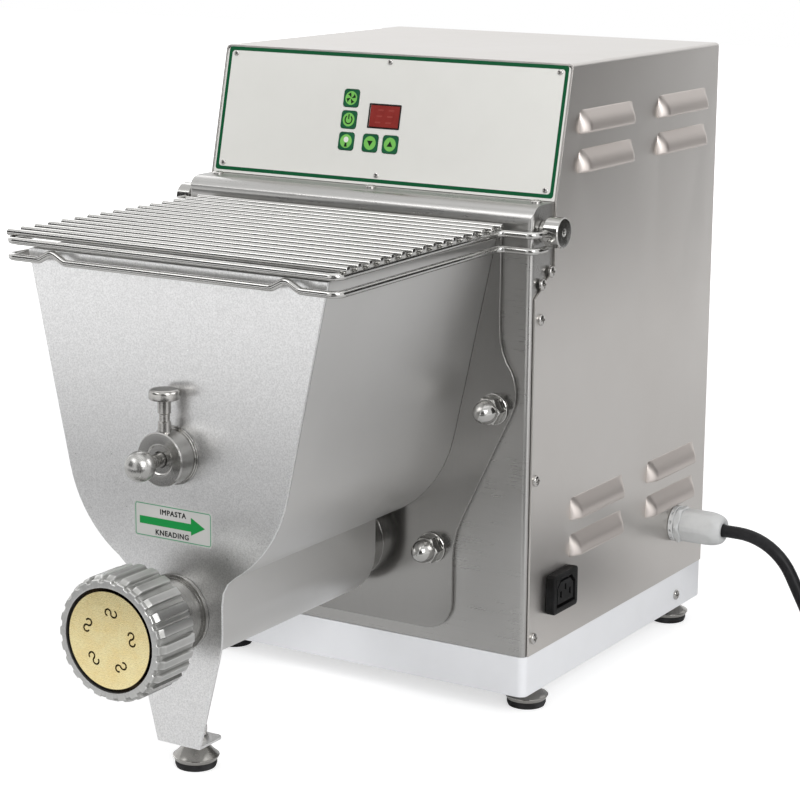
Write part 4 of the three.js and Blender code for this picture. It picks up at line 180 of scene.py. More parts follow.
class Recipe:
    """The node tree of a material or a world while it is put together."""

    def __init__(self, owner: bpy.types.Material | bpy.types.World) -> None:
        """Starts with the owner's tree and empties it.

        Args:
            owner: The new material or world.
        """
        owner.use_nodes = True
        self.tree = owner.node_tree
        self.tree.nodes.clear()

    def node(self, kind: str, settings: dict, sockets: dict, output: int | str = 0) -> Signal:
        """Adds a node: its settings first, then its sockets' values or links.

        Args:
            kind: The node's type.
            settings: Properties of the node.
            sockets: Values or signals by socket name or number.
            output: The socket that the signal is taken from.

        Returns:
            The chosen output.
        """
        made = self.tree.nodes.new(kind)
        for key, value in settings.items():
            setattr(made, key, value)
        for key, value in sockets.items():
            self.feed(made.inputs[key], value)
        return Signal(self, made.outputs[output])

    def feed(self, socket: bpy.types.NodeSocket, value: Operand) -> None:
        """Links a signal to a socket, or sets the socket's own value.

        Args:
            socket: The input socket.
            value: A signal, a number, a vector or a colour.
        """
        if isinstance(value, Signal):
            self.tree.links.new(value.socket, socket)
        else:
            socket.default_value = (*value, 1.0) if socket.type == "RGBA" else value

    def end(self, kind: str, shader: Signal) -> None:
        """Links the last shader to the tree's output."""
        self.feed(self.tree.nodes.new(kind).inputs["Surface"], shader)

    def surface(self, **sockets: Operand) -> None:
        """Ends a material with a surface shader, its sockets named with underscores for spaces."""
        named = {name.replace("_", " "): value for name, value in sockets.items()}
        self.end("ShaderNodeOutputMaterial", self.node("ShaderNodeBsdfPrincipled", {}, named))

    def ray(self, kind: str) -> Signal:
        """Gives 1 for one kind of ray, such as "Camera", and 0 for the others."""
        return self.node("ShaderNodeLightPath", {}, {}, f"Is {kind} Ray")

    def mirrored(self) -> Signal:
        """Gives 1 where a mirror or glass shows this."""
        glossy = self.ray("Glossy")
        return glossy.math("MAXIMUM", glossy, self.ray("Transmission"))

    def seen(self) -> Signal:
        """Gives 1 where the camera, a mirror or glass looks at this, and 0 where it only gives light."""
        camera = self.ray("Camera")
        return camera.math("MAXIMUM", camera, self.mirrored())

    def mixed(self, factor: Operand, low: Operand, high: Operand) -> Signal:
        """Mixes two colours, of which the factor is the second one's share."""
        return self.node("ShaderNodeMix", {"data_type": "RGBA"}, {0: factor, 6: low, 7: high}, 2)

    def place(self) -> Direction:
        """Gives the point on the piece, in metres."""
        return Direction(self, self.node("ShaderNodeTexCoord", {}, {}, "Object").socket)

    def noise(
        self, place: Signal, scale: float, detail: float = 2.0, roughness: float = 0.5, distortion: float = 0.0
    ) -> Signal:
        """Gives soft noise from 0 to 1, of so many waves in a metre."""
        sockets = {"Vector": place, "Scale": scale, "Detail": detail, "Roughness": roughness, "Distortion": distortion}
        return self.node("ShaderNodeTexNoise", {}, sockets)

    def bump(self, height: Signal, depth: float, strength: float = 1.0, under: Signal | None = None) -> Signal:
        """Turns heights, of which 1 is worth the depth in metres, into a normal over the one under it."""
        sockets = {"Height": height, "Distance": depth, "Strength": strength} | ({"Normal": under} if under else {})
        return self.node("ShaderNodeBump", {}, sockets)


# Finishes


@dataclass(frozen=True)
class Finish:
    """What every finish has: a name, the record's slot, a colour, its roughness and a way to make its material."""

    name: str
    slot: str
    colour: Colour
    roughness: float

    def material(self) -> bpy.types.Material:
        """Gives the finish's material, made on first use.

        Returns:
            The material.
        """
        known = bpy.data.materials.get(self.name)
        if known is None:
            known = bpy.data.materials.new(self.name)
            self.mix(Recipe(known))
        return known

    def mix(self, recipe: Recipe) -> None:
        """Fills the material's recipe."""
        raise NotImplementedError


@dataclass(frozen=True)
class SheetSteel(Finish):
    """Satin stainless sheet with a fine straight grain and soft handling marks."""

    warmth: Colour
    grain: Axis = Axis.Z

    def mix(self, recipe: Recipe) -> None:
        """Draws the grain along its axis, over broad clouds.

        Args:
            recipe: The recipe to fill.
        """
        place = recipe.place()
        stretch = tuple(24.0 if axis is self.grain else 1400.0 for axis in Axis)
        streaks = recipe.noise(place * stretch, 1.0, 3.0, 0.6)
        broad = recipe.noise(place, 6.0, 3.0, 0.55)
        smudges = recipe.noise(place, 38.0, 4.0, 0.6, 0.4)
        shade = recipe.mixed(broad, self.colour, self.warmth)
        recipe.surface(
            Base_Color=recipe.mixed(0.08 * streaks, shade, (0.86, 0.85, 0.84)), Metallic=1.0,
            Roughness=self.roughness + (streaks - 0.5) * 0.10 + (smudges - 0.5) * 0.08,
            Normal=recipe.bump(streaks, 3e-6),
        )


@dataclass(frozen=True)
class BlastedSteel(Finish):
    """Bead-blasted stainless sheet: fine sparkle without a direction."""

    depth: float = 9e-6

    def mix(self, recipe: Recipe) -> None:
        """Scatters flecks and grains over mottled steel.

        Args:
            recipe: The recipe to fill.
        """
        place = recipe.place()
        grains = recipe.noise(place, 2600.0, 2.0, 0.7)
        mottle = recipe.noise(place, 420.0, 3.0, 0.65)
        flecks = recipe.noise(place, 950.0, 1.0, 0.5)
        mixing = grains - 0.5 + (flecks - 0.5) * 2.0 + 0.5
        shade = recipe.mixed(mixing, tuple(0.82 * c for c in self.colour), (0.93, 0.93, 0.93))
        recipe.surface(
            Base_Color=recipe.mixed(0.20 * recipe.noise(place, 9.0), shade, (0.66, 0.655, 0.65)), Metallic=1.0,
            Roughness=self.roughness + (mottle - 0.5) * 0.16,
            Normal=recipe.bump(grains, self.depth, 0.6, recipe.bump(mottle, 2 * self.depth, 0.25)),
        )


@dataclass(frozen=True)
class TurnedMetal(Finish):
    """Metal turned on a lathe: fine rings about its axis, brighter on their crests."""

    dark: Colour
    centre: Point = (0.0, 0.0, MIXER_HEIGHT)
    axis: Axis = Axis.Y
    rings: float = 2600.0

    def mix(self, recipe: Recipe) -> None:
        """Draws the rings about the axis, with stains over them.

        Args:
            recipe: The recipe to fill.
        """
        place = recipe.place()
        offset = place - tuple(placed(self.centre))
        radius = (offset * tuple(0.0 if axis is self.axis else 1.0 for axis in Axis)).length()
        along = offset.part(self.axis)
        run = recipe.node("ShaderNodeCombineXYZ", {}, {0: radius * self.rings, 1: along * self.rings})
        rings = recipe.noise(run, 1.0, 2.0, 0.6)
        stains = recipe.noise(place, 90.0, 3.0, 0.6)
        shade = recipe.mixed(rings, self.dark, self.colour)
        recipe.surface(
            Base_Color=recipe.mixed(stains.above(0.62, 0.12) * 0.25, shade, self.dark), Metallic=1.0,
            Roughness=self.roughness + (rings - 0.5) * 0.12 + (stains - 0.5) * 0.08,
            Normal=recipe.bump(rings, 3e-6),
        )


@dataclass(frozen=True)
class PolishedMetal(Finish):
    """Polished stainless wire and fittings with faint scuffs."""

    def mix(self, recipe: Recipe) -> None:
        """Lays haze and scuffs over bright metal.

        Args:
            recipe: The recipe to fill.
        """
        place = recipe.place()
        scuffs = recipe.noise(place * (900.0, 900.0, 240.0), 1.0, 3.0, 0.65)
        haze = recipe.noise(place, 55.0, 3.0, 0.6)
        recipe.surface(
            Base_Color=recipe.mixed(haze, self.colour, tuple(0.84 * c for c in self.colour)), Metallic=1.0,
            Roughness=self.roughness + haze.above(0.55, 0.2) * 0.10 + (scuffs - 0.5) * 0.08,
            Normal=recipe.bump(scuffs, 2.5e-6),
        )


@dataclass(frozen=True)
class CastAlloy(Finish):
    """Cast and tumbled light alloy: a grey, slightly pitted skin that is brighter on its edges."""

    bright: Colour

    def mix(self, recipe: Recipe) -> None:
        """Pits the skin and rubs its edges bright.

        Args:
            recipe: The recipe to fill.
        """
        place = recipe.place()
        pits = recipe.noise(place, 900.0, 4.0, 0.65)
        cloud = recipe.noise(place, 70.0, 3.0, 0.55)
        edges = recipe.node("ShaderNodeNewGeometry", {}, {}, "Pointiness").above(0.53, 0.03)
        shade = recipe.mixed(cloud, self.colour, self.bright)
        recipe.surface(
            Base_Color=recipe.mixed(edges * 0.6, shade, (0.72, 0.72, 0.71)), Metallic=0.95,
            Roughness=self.roughness + (pits - 0.5) * 0.2 - edges * 0.1, Normal=recipe.bump(pits, 3.2e-5, 0.7),
        )


@dataclass(frozen=True)
class DieBronze(Finish):
    """The die's pale bronze: rings from the lathe, straight rub marks, stains, and painted shade on its rim, where the
    gap to the nut falls dark.
    """

    deep: Colour
    rim_shade: Colour = (0.035, 0.024, 0.014)
    face_radius: float = 0.0329

    def mix(self, recipe: Recipe) -> None:
        """Lays rings, rub marks and stains about the die's axis, and painted shade beyond its face.

        Args:
            recipe: The recipe to fill.
        """
        offset = recipe.place() - tuple(placed((0.0, 0.0, AUGER_HEIGHT)))
        radius = (offset * (1.0, 0.0, 1.0)).length()
        rings = recipe.noise(recipe.node("ShaderNodeCombineXYZ", {}, {0: radius * 2200.0}), 1.0)
        rubbed = recipe.noise(offset * (70.0, 900.0, 1100.0), 1.0, 4.0, 0.65)
        clouds = recipe.noise(offset, 85.0, 4.0, 0.6, 0.6)
        shade = recipe.mixed(clouds.above(0.52, 0.22), self.colour, self.deep)
        lined = recipe.mixed((rubbed - 0.5) * 0.4 + 0.20, shade, (1.0, 0.92, 0.66))
        recipe.surface(
            # Beyond the face's radius the colour turns almost black: painted shade for the dark gap between the die and
            # the nut.
            Base_Color=recipe.mixed(radius.above(self.face_radius, 0.0002), lined, self.rim_shade), Metallic=1.0,
            Roughness=self.roughness + (rubbed - 0.5) * 0.18,
            Normal=recipe.bump(rings, 2.5e-6, 0.8, recipe.bump(rubbed, 4e-6, 0.8)),
        )


@dataclass(frozen=True)
class Paint(Finish):
    """Sprayed enamel or printed sheet with a faint orange-peel skin and dusty lows."""

    soiled: Colour
    specular: float = 0.45
    peel: float = 3e-6

    def mix(self, recipe: Recipe) -> None:
        """Lays dust over the paint's skin.

        Args:
            recipe: The recipe to fill.
        """
        place = recipe.place()
        dust = recipe.noise(place, 26.0, 4.0, 0.6)
        recipe.surface(
            Base_Color=recipe.mixed(dust.above(0.60, 0.25) * 0.5, self.colour, self.soiled),
            Roughness=self.roughness + (dust - 0.5) * 0.12, Specular_IOR_Level=self.specular,
            Normal=recipe.bump(recipe.noise(place, 520.0), self.peel),
        )


@dataclass(frozen=True)
class Moulding(Finish):
    """Moulded plastic or rubber with a fine spark-eroded texture and rubbed patches."""

    rubbed: Colour
    depth: float = 1.2e-5
    specular: float = 0.18
    texture: float = 1500.0

    def mix(self, recipe: Recipe) -> None:
        """Rubs patches into the texture.

        Args:
            recipe: The recipe to fill.
        """
        place = recipe.place()
        grain = recipe.noise(place, self.texture, 2.0, 0.6)
        wear = recipe.noise(place, 60.0, 4.0, 0.6)
        recipe.surface(
            Base_Color=recipe.mixed(wear.above(0.56, 0.2), self.colour, self.rubbed),
            Roughness=self.roughness + (wear - 0.5) * 0.18 + (grain - 0.5) * 0.08,
            Specular_IOR_Level=self.specular, Normal=recipe.bump(grain, self.depth, 0.6),
        )


@dataclass(frozen=True)
class RedWindow(Finish):
    """The display's deep red window over a darker back, with a faint painted red glow although the display is unlit."""

    deep: Colour

    def mix(self, recipe: Recipe) -> None:
        """Clouds the window's red and gives it a faint painted glow.

        Args:
            recipe: The recipe to fill.
        """
        cloud = recipe.noise(recipe.place(), 130.0)
        recipe.surface(
            Base_Color=recipe.mixed(cloud, self.deep, self.colour), Roughness=self.roughness + cloud * 0.10,
            # The emission is a painted glow: the window is unlit and gives no light of its own.
            Specular_IOR_Level=0.15, Emission_Color=(0.5, 0.02, 0.015), Emission_Strength=0.06,
        )


WALL_STEEL = SheetSteel("wall_steel", "brushed_sheet", (0.66, 0.64, 0.62), 0.32, (0.60, 0.57, 0.54))
CHASSIS_STEEL = SheetSteel("chassis_steel", "brushed_sheet", (0.46, 0.455, 0.445), 0.29, (0.38, 0.375, 0.365), Axis.X)
# The ear plate's steel is the tub's steel made darker: a copy that paints in the shade and the dark reflection that
# fall on the ear plate.
SHADED_EAR_STEEL = SheetSteel("ear_steel_painted_shade", "brushed_sheet", (0.36, 0.355, 0.345), 0.20, (0.29, 0.285, 0.275))
TUB_STEEL = SheetSteel("tub_steel", "brushed_sheet", (0.64, 0.635, 0.625), 0.40, (0.56, 0.555, 0.545), Axis.Y)
LOUVRE_STEEL = SheetSteel("louvre_steel", "brushed_sheet", (0.66, 0.61, 0.58), 0.44, (0.62, 0.565, 0.53))
PLATE_STEEL = BlastedSteel("plate_steel", "blasted_sheet", (0.82, 0.82, 0.82), 0.31)
WIRE_METAL = PolishedMetal("wire_metal", "polished_nickel", (0.55, 0.545, 0.53), 0.12)
FITTING_METAL = PolishedMetal("fitting_metal", "polished_nickel", (0.50, 0.495, 0.48), 0.11)
FOOT_METAL = PolishedMetal("foot_metal", "polished_nickel", (0.40, 0.39, 0.37), 0.20)
NUT_METAL = CastAlloy("nut_metal", "cast_alloy", (0.25, 0.25, 0.24), 0.42, (0.50, 0.50, 0.485))
MOTOR_METAL = CastAlloy("motor_metal", "cast_alloy", (0.28, 0.29, 0.30), 0.42, (0.42, 0.43, 0.44))
DIE_METAL = DieBronze("die_metal", "die_brass", (1.0, 0.86, 0.44), 0.27, (0.96, 0.76, 0.34))
PIVOT_METAL = TurnedMetal("pivot_metal", "turned_steel", (0.50, 0.495, 0.48), 0.22, (0.34, 0.335, 0.325))
BALL_METAL = TurnedMetal("ball_metal", "turned_steel", (0.50, 0.495, 0.48), 0.27, (0.34, 0.335, 0.325))
LOCK_METAL = TurnedMetal(
    "lock_metal", "polished_nickel", (0.50, 0.49, 0.47), 0.20, (0.34, 0.33, 0.32), (0.0, -229.7, 0.0), Axis.Z
)
SPOUT_METAL = TurnedMetal(
    "spout_metal", "turned_steel", (0.40, 0.395, 0.38), 0.28, (0.28, 0.275, 0.265), (0.0, 0.0, AUGER_HEIGHT)
)
MIXER_METAL = TurnedMetal("mixer_metal", "turned_steel", (0.62, 0.615, 0.60), 0.30, (0.45, 0.44, 0.43))
GEAR_METAL = TurnedMetal("gear_metal", "gear_steel", (0.42, 0.42, 0.43), 0.24, (0.30, 0.30, 0.31))
SCREW_METAL = TurnedMetal(
    "screw_metal", "brushed_sheet", (0.60, 0.59, 0.57), 0.20, (0.40, 0.39, 0.38), (0.0, 0.0, 0.0), rings=1800.0
)
BASE_PAINT = Paint("base_paint", "painted_base", (0.89, 0.90, 0.925), 0.30, (0.83, 0.84, 0.86), peel=6e-6)
PANEL_PAINT = Paint("panel_paint", "panel_sheet", (0.72, 0.715, 0.68), 0.42, (0.68, 0.675, 0.64))
BORDER_INK = Paint("border_ink", "panel_sheet", (0.0, 0.080, 0.026), 0.40, (0.002, 0.095, 0.034), 0.12)
ARROW_INK = Paint("arrow_ink", "blasted_sheet", (0.004, 0.26, 0.05), 0.40, (0.01, 0.30, 0.08), 0.2)
WORD_INK = Paint("word_ink", "blasted_sheet", (0.010, 0.010, 0.010), 0.40, (0.02, 0.02, 0.02), 0.15)
LABEL_FILM = Paint("label_film", "blasted_sheet", (0.56, 0.56, 0.54), 0.38, (0.50, 0.50, 0.48))
LABEL_LINE = Paint("label_line", "blasted_sheet", (0.10, 0.30, 0.18), 0.40, (0.12, 0.34, 0.20))
KEY_PLASTIC = Moulding("key_plastic", "key_green", (0.004, 0.085, 0.032), 0.36, (0.006, 0.11, 0.045), 6e-6)
KEY_DISC_INK = Moulding("key_disc_ink", "key_green", (0.17, 0.50, 0.09), 0.36, (0.20, 0.56, 0.12), 4e-6)
SIGN_INK = Moulding("sign_ink", "key_green", (0.004, 0.012, 0.006), 0.40, (0.008, 0.018, 0.010), 4e-6)
LAMP_INK = Moulding("lamp_ink", "key_green", (0.75, 0.75, 0.70), 0.40, (0.80, 0.80, 0.76), 4e-6)
BLACK_PLASTIC = Moulding(
    "black_plastic_skin", "black_plastic", (0.006, 0.006, 0.006), 0.36, (0.016, 0.016, 0.017), specular=0.10
)
GREY_PLASTIC = Moulding("grey_plastic_skin", "grey_plastic", (0.63, 0.64, 0.64), 0.42, (0.56, 0.57, 0.57), specular=0.4)
WHITE_PLASTIC = Moulding("white_plastic_skin", "white_plastic", (0.66, 0.66, 0.63), 0.45, (0.60, 0.60, 0.57))
BOARD_LACQUER = Moulding("board_lacquer", "board_green", (0.01, 0.10, 0.03), 0.35, (0.02, 0.14, 0.05))
RUBBER = Moulding("foot_rubber", "black_rubber", (0.012, 0.012, 0.012), 0.62, (0.05, 0.05, 0.052), texture=900.0)
CABLE_SHEATH = Moulding("cable_sheath", "black_cable", (0.010, 0.010, 0.011), 0.44, (0.026, 0.026, 0.028))
DIGIT_RED = Moulding("digit_red", "red_lens", (0.30, 0.04, 0.03), 0.3, (0.33, 0.05, 0.04), 3e-6)
RED_WINDOW = RedWindow("red_window", "red_lens", (0.25, 0.024, 0.018), 0.26, (0.17, 0.015, 0.012))


# Drawing


def polar(radius: float, angle: float, middle: Place = (0.0, 0.0)) -> Place:
    """Gives a flat point by its distance and its angle about a middle."""
    return middle[0] + radius * math.cos(angle), middle[1] + radius * math.sin(angle)


def disc(radius: float, steps: int, middle: Place = (0.0, 0.0)) -> list[Place]:
    """Gives the points of a flat circle."""
    return [polar(radius, TURN * k / steps, middle) for k in range(steps)]


def eased(share: float) -> float:
    """Rises smoothly from 0 to 1 with a share from 0 to 1."""
    return share * share * (3 - 2 * share)


def box_corners(left: float, right: float, bottom: float, top: float) -> list[Place]:
    """Gives the corners of a rectangle."""
    return [(left, bottom), (right, bottom), (right, top), (left, top)]


def box_about(middle: Place, wide: float, high: float) -> list[Place]:
    """Gives the corners of a rectangle from its middle, half its width and half its height."""
    return box_corners(middle[0] - wide, middle[0] + wide, middle[1] - high, middle[1] + high)


def dome(inner: float, swell: float, start: float, end: float, steps: int) -> list[Place]:
    """Gives the profile of a quarter dome without its two ends.

    Args:
        inner: The radius that it shrinks to at its tip.
        swell: How much wider it starts.
        start: Where it starts along its axis.
        end: Where its tip is.
        steps: How many steps it is drawn in.

    Returns:
        Its radii and places.
    """
    angles = [TURN / 4 * k / steps for k in range(1, steps)]
    return [(inner + swell * math.cos(a), start + (end - start) * math.sin(a)) for a in angles]


def across(axis: Axis, first: float, second: float, along: float, centre: Point) -> Vector:
    """Gives a point from its two places across an axis, in the order of X, Y and Z, and the one along it."""
    order = {Axis.X: (along, first, second), Axis.Y: (first, along, second), Axis.Z: (first, second, along)}
    return Vector(order[axis]) + Vector(centre)


def circle(axis: Axis, centre: Point, radius: float, along: float, steps: int) -> list[Vector]:
    """Gives a circle about an axis, or its middle where the radius is 0."""
    return [across(axis, *spot, along, centre) for spot in disc(radius, steps if radius else 1)]


def hexagon(axis: Axis, centre: Point, corner: float, cap: float, along: float, steps: int) -> list[Vector]:
    """Gives a hexagon about an axis, held inside a circle.

    Args:
        axis: The axis.
        centre: A point on it.
        corner: The distance to the hexagon's corners.
        cap: The circle's radius.
        along: Its place along the axis.
        steps: Points around.

    Returns:
        The points.
    """
    half_side = TURN / 12
    points = []
    for angle in (TURN * k / steps for k in range(steps)):
        inside = (angle + half_side) % (2 * half_side) - half_side
        reach = min(corner * math.cos(half_side) / math.cos(half_side - abs(inside)), cap)
        points.append(across(axis, *polar(reach, angle), along, centre))
    return points


def rounded(corners: Profile, radius: float, steps: int = 6) -> list[Place]:
    """Rounds the corners of a flat outline.

    Args:
        corners: The outline's corners in order.
        radius: The corners' radius.
        steps: Points on each corner.

    Returns:
        The rounded outline.
    """
    outline = []
    for k, corner in enumerate(corners):
        here = Vector(corner)
        back = (Vector(corners[k - 1]) - here).normalized()
        on = (Vector(corners[(k + 1) % len(corners)]) - here).normalized()
        half = math.acos(max(-1.0, min(1.0, back.dot(on)))) / 2
        middle = here + (back + on).normalized() * radius / math.sin(half)
        start, end = (here + leg * radius / math.tan(half) - middle for leg in (back, on))
        sweep = start.angle_signed(end)
        for step in range(steps + 1):
            outline.append(tuple(middle + Matrix.Rotation(-sweep * step / steps, 2) @ start))
    return outline


def rounded_route(corners: Sequence[Point], radius: float, steps: int = 8) -> list[Vector]:
    """Rounds the corners of a route in space.

    Args:
        corners: The route's corners.
        radius: The radius of each bend, less where its legs are short.
        steps: Points on each bend.

    Returns:
        The points of the rounded route.
    """
    points = [Vector(corner) for corner in corners]
    route = [points[0]]
    last_bend = len(points) - 3
    for k, (before, here, after) in enumerate(zip(points, points[1:], points[2:])):
        back, on = before - here, after - here
        half = back.angle(on) / 2
        room_back = back.length / (1 if k == 0 else 2)
        room_on = on.length / (1 if k == last_bend else 2)
        reach = min(radius / math.tan(half), room_back, room_on)
        back.normalize()
        on.normalize()
        middle = here + (back + on).normalized() * reach * math.tan(half) / math.sin(half)
        start, end = here + back * reach - middle, here + on * reach - middle
        turn = start.angle(end)
        for step in range(steps + 1):
            gone, left = math.sin(step / steps * turn), math.sin((1 - step / steps) * turn)
            route.append(middle + start * left / math.sin(turn) + end * gone / math.sin(turn))
    route.append(points[-1])
    return route


def pierced(loops: Sequence[Profile]) -> list[tuple[int, ...]]:
    """Fills the first outline with triangles and leaves the others open.

    Args:
        loops: The outer outline and those of its holes, all anticlockwise.

    Returns:
        The triangles, by the points' numbers through all the outlines.
    """
    starts = [0, *accumulate(len(loop) for loop in loops)]
    points = [Vector(point) for loop in loops for point in loop]
    rounds = [list(range(start, end)) for start, end in zip(starts, starts[1:])]
    _, _, triangles, sources, _, owners = delaunay_2d_cdt(points, [], rounds, 1, 1e-5, True)
    return [tuple(sources[k][0] for k in three) for three, owner in zip(triangles, owners) if len(owner) == 1]


class Draft:
    """A mesh drawn in millimetres, closed body by closed body."""

    def __init__(self, points: Iterable[Vector] = (), faces: Iterable[tuple[int, ...]] = ()) -> None:
        """Starts with some points and faces, or with nothing drawn."""
        self.points, self.faces = list(points), list(faces)

    def rings(self, rings: Sequence[Sequence[Vector]], looped: bool = False) -> Draft:
        """Joins rings of points into a body.

        Args:
            rings: Closed rings of points, or single points where the body closes.
            looped: Whether the last ring joins the first.

        Returns:
            This draft.
        """
        sizes = [len(ring) for ring in rings]
        spans = list(zip(accumulate(sizes, initial=len(self.points)), sizes))
        self.points += [Vector(point) for ring in rings for point in ring]
        for one, two in zip(spans, spans[1:] + spans[:looped]):
            self.band(*one, *two)
        if not looped:
            ends = [span for span in (spans[0], spans[-1]) if span[1] > 2]
            self.faces += [tuple(range(start, start + size)) for start, size in ends]
        return self

    def band(self, first: int, first_size: int, second: int, second_size: int) -> None:
        """Joins two neighbouring rings, either of which may be one point.

        Args:
            first: The number of the first ring's first point.
            first_size: How many points the first ring has.
            second: The same number for the second ring.
            second_size: How many points the second ring has.
        """
        count = max(first_size, second_size)
        for k in range(count):
            after = (k + 1) % count
            if first_size == 1:
                self.faces.append((first, second + k, second + after))
            elif second_size == 1:
                self.faces.append((first + k, first + after, second))
            else:
                self.faces.append((first + k, first + after, second + after, second + k))

    def lathe(self, profile: Profile, axis: Axis, centre: Point, steps: int) -> Draft:
        """Turns a profile of radius and place along an axis, with so many facets around."""
        rings = [circle(axis, centre, radius, along, steps) for radius, along in profile]
        return self.rings(rings, looped=profile[0][0] != 0 and profile[-1][0] != 0)

    def hex_nut(self, axis: Axis, centre: Point, corner: float, low: float, high: float, bore: float) -> Draft:
        """Draws a hexagon nut with its corners turned off at both ends.

        Args:
            axis: The nut's axis.
            centre: A point on it.
            corner: The distance to its corners.
            low: Where it starts.
            high: Where it ends.
            bore: The radius of its hole.

        Returns:
            This draft.
        """
        steps = 72
        flat = corner * math.cos(TURN / 12)
        cuts = [(flat * 0.97, 0.0), (flat * 1.02, corner * 0.10 * 0.25), (corner, corner * 0.10)]
        rings = [hexagon(axis, centre, corner, cap, low + inward, steps) for cap, inward in cuts]
        rings += [hexagon(axis, centre, corner, cap, high - inward, steps) for cap, inward in reversed(cuts)]
        rings += [circle(axis, centre, bore, along, steps) for along in (high, low)]
        return self.rings(rings, looped=True)

    def rim(self, axis: Axis, middle: Place, rows: Iterable[tuple[float, ...]]) -> Draft:
        """Draws a rectangular rim with rounded corners.

        Args:
            axis: The axis that it faces.
            middle: Its middle.
            rows: Half width, half height, corner radius and place along the axis of each edge, round the section.

        Returns:
            This draft.
        """
        rings = []
        for wide, high, corner, along in rows:
            outline = rounded(box_about(middle, wide, high), corner)
            rings.append([across(axis, *spot, along, (0, 0, 0)) for spot in outline])
        return self.rings(rings, looped=True)

    def tube(self, route: Sequence[Vector], radius: float, sides: int = 20) -> Draft:
        """Sweeps a round section along a route.

        Args:
            route: The middle line's points.
            radius: The section's radius.
            sides: Facets around.

        Returns:
            This draft.
        """
        rings = []
        aside = (route[1] - route[0]).normalized().orthogonal().normalized()
        for k, point in enumerate(route):
            ahead = (route[min(k + 1, len(route) - 1)] - route[max(k - 1, 0)]).normalized()
            aside = (aside - ahead * aside.dot(ahead)).normalized()
            above = ahead.cross(aside)
            rings.append([point + radius * (aside * a + above * b) for a, b in disc(1.0, sides)])
        return self.rings(rings)

    def prism(self, outline: Profile, axis: Axis, low: float, high: float) -> Draft:
        """Extrudes a flat outline along an axis."""
        return self.rings([[across(axis, a, b, along, (0, 0, 0)) for a, b in outline] for along in (low, high)])

    def moved(self, change: Callable[[Vector], Vector]) -> Draft:
        """Sends every point through a change of place."""
        self.points = [change(point) for point in self.points]
        return self

    def add(self, other: Draft) -> Draft:
        """Takes in another draft's bodies.

        Args:
            other: The other draft.

        Returns:
            This draft.
        """
        start = len(self.points)
        self.points += other.points
        self.faces += [tuple(start + k for k in face) for face in other.faces]
        return self

    def mirrored_too(self) -> Draft:
        """Adds the same bodies again on the machine's other side."""
        return self.add(Draft([Vector((-p.x, p.y, p.z)) for p in self.points], self.faces))

    def mesh(self, name: str) -> bpy.types.Mesh:
        """Makes the mesh in metres, with its faces outwards.

        Args:
            name: The mesh's name.

        Returns:
            The mesh.
        """
        mesh = bpy.data.meshes.new(name)
        mesh.from_pydata([placed(point) for point in self.points], [], self.faces)
        work = bmesh.new()
        work.from_mesh(mesh)
        bmesh.ops.recalc_face_normals(work, faces=work.faces)
        work.to_mesh(mesh)
        work.free()
        return mesh


class SubAssembly:
    """What every sub-assembly does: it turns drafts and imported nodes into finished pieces."""

    def piece(
        self, name: str, form: Draft | bpy.types.Mesh, finish: Finish, *replaced: str, body: str = "frame",
        smooth: float = SMOOTH_TURN,
    ) -> bpy.types.Object:
        """Makes a piece.

        Args:
            name: Its name.
            form: Its draft, or its mesh in metres.
            finish: Its finish.
            replaced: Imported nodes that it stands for.
            body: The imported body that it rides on.
            smooth: The largest turn between faces that shows as a curve, in degrees.

        Returns:
            The new object.
        """
        mesh = form.mesh(name) if isinstance(form, Draft) else form
        mesh.materials.clear()
        mesh.materials.append(finish.material())
        mesh.shade_smooth()
        mesh.set_sharp_from_angle(angle=math.radians(smooth))
        made = shown(name, mesh)
        levelled = made.modifiers.new("flat_faces_level", "WEIGHTED_NORMAL")
        levelled.mode = "FACE_AREA"
        levelled.weight = 100
        levelled.keep_sharp = True
        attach(made, body)
        if replaced:
            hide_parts(*replaced)
        LOG.info("%s: %d faces on %s", name, len(mesh.polygons), body)
        return made

    def skin(self, node: str, finish: Finish, edge: float = 0.0, smooth: float = SMOOTH_TURN) -> None:
        """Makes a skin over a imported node, with its flat faces whole and its sharp edges broken.

        Args:
            node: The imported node.
            finish: The skin's finish.
            edge: The width that its edges are broken by, in millimetres.
            smooth: The largest turn between faces that shows as a curve, in degrees.
        """
        source = frame["nodes"][node]
        work = bmesh.new()
        work.from_mesh(source.data)
        bmesh.ops.remove_doubles(work, verts=work.verts, dist=MODEL_SEAM)
        bmesh.ops.dissolve_limit(work, angle_limit=FACE_TURN, verts=work.verts, edges=work.edges)
        if edge:
            broken = [e for e in work.edges if len(e.link_faces) == 2 and e.calc_face_angle(0.0) > EDGE_TURN]
            bmesh.ops.bevel(
                work, geom=broken, offset=edge * MM, offset_type="OFFSET", segments=2, profile=0.5,
                affect="EDGES", clamp_overlap=True,
            )
        mesh = bpy.data.meshes.new(node + "_skin")
        work.to_mesh(mesh)
        work.free()
        self.piece(node + "_skin", mesh, finish, node, body=source["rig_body"], smooth=smooth)

    def finish(self, finish: Finish, *nodes: str) -> None:
        """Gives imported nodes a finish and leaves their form.

        Args:
            finish: The finish.
            nodes: The nodes' names.
        """
        for node in nodes:
            thing = frame["nodes"][node]
            thing.data.materials.clear()
            thing.data.materials.append(finish.material())
            LOG.info("%s: finished as %s", node, finish.name)


# Camera, light and floor


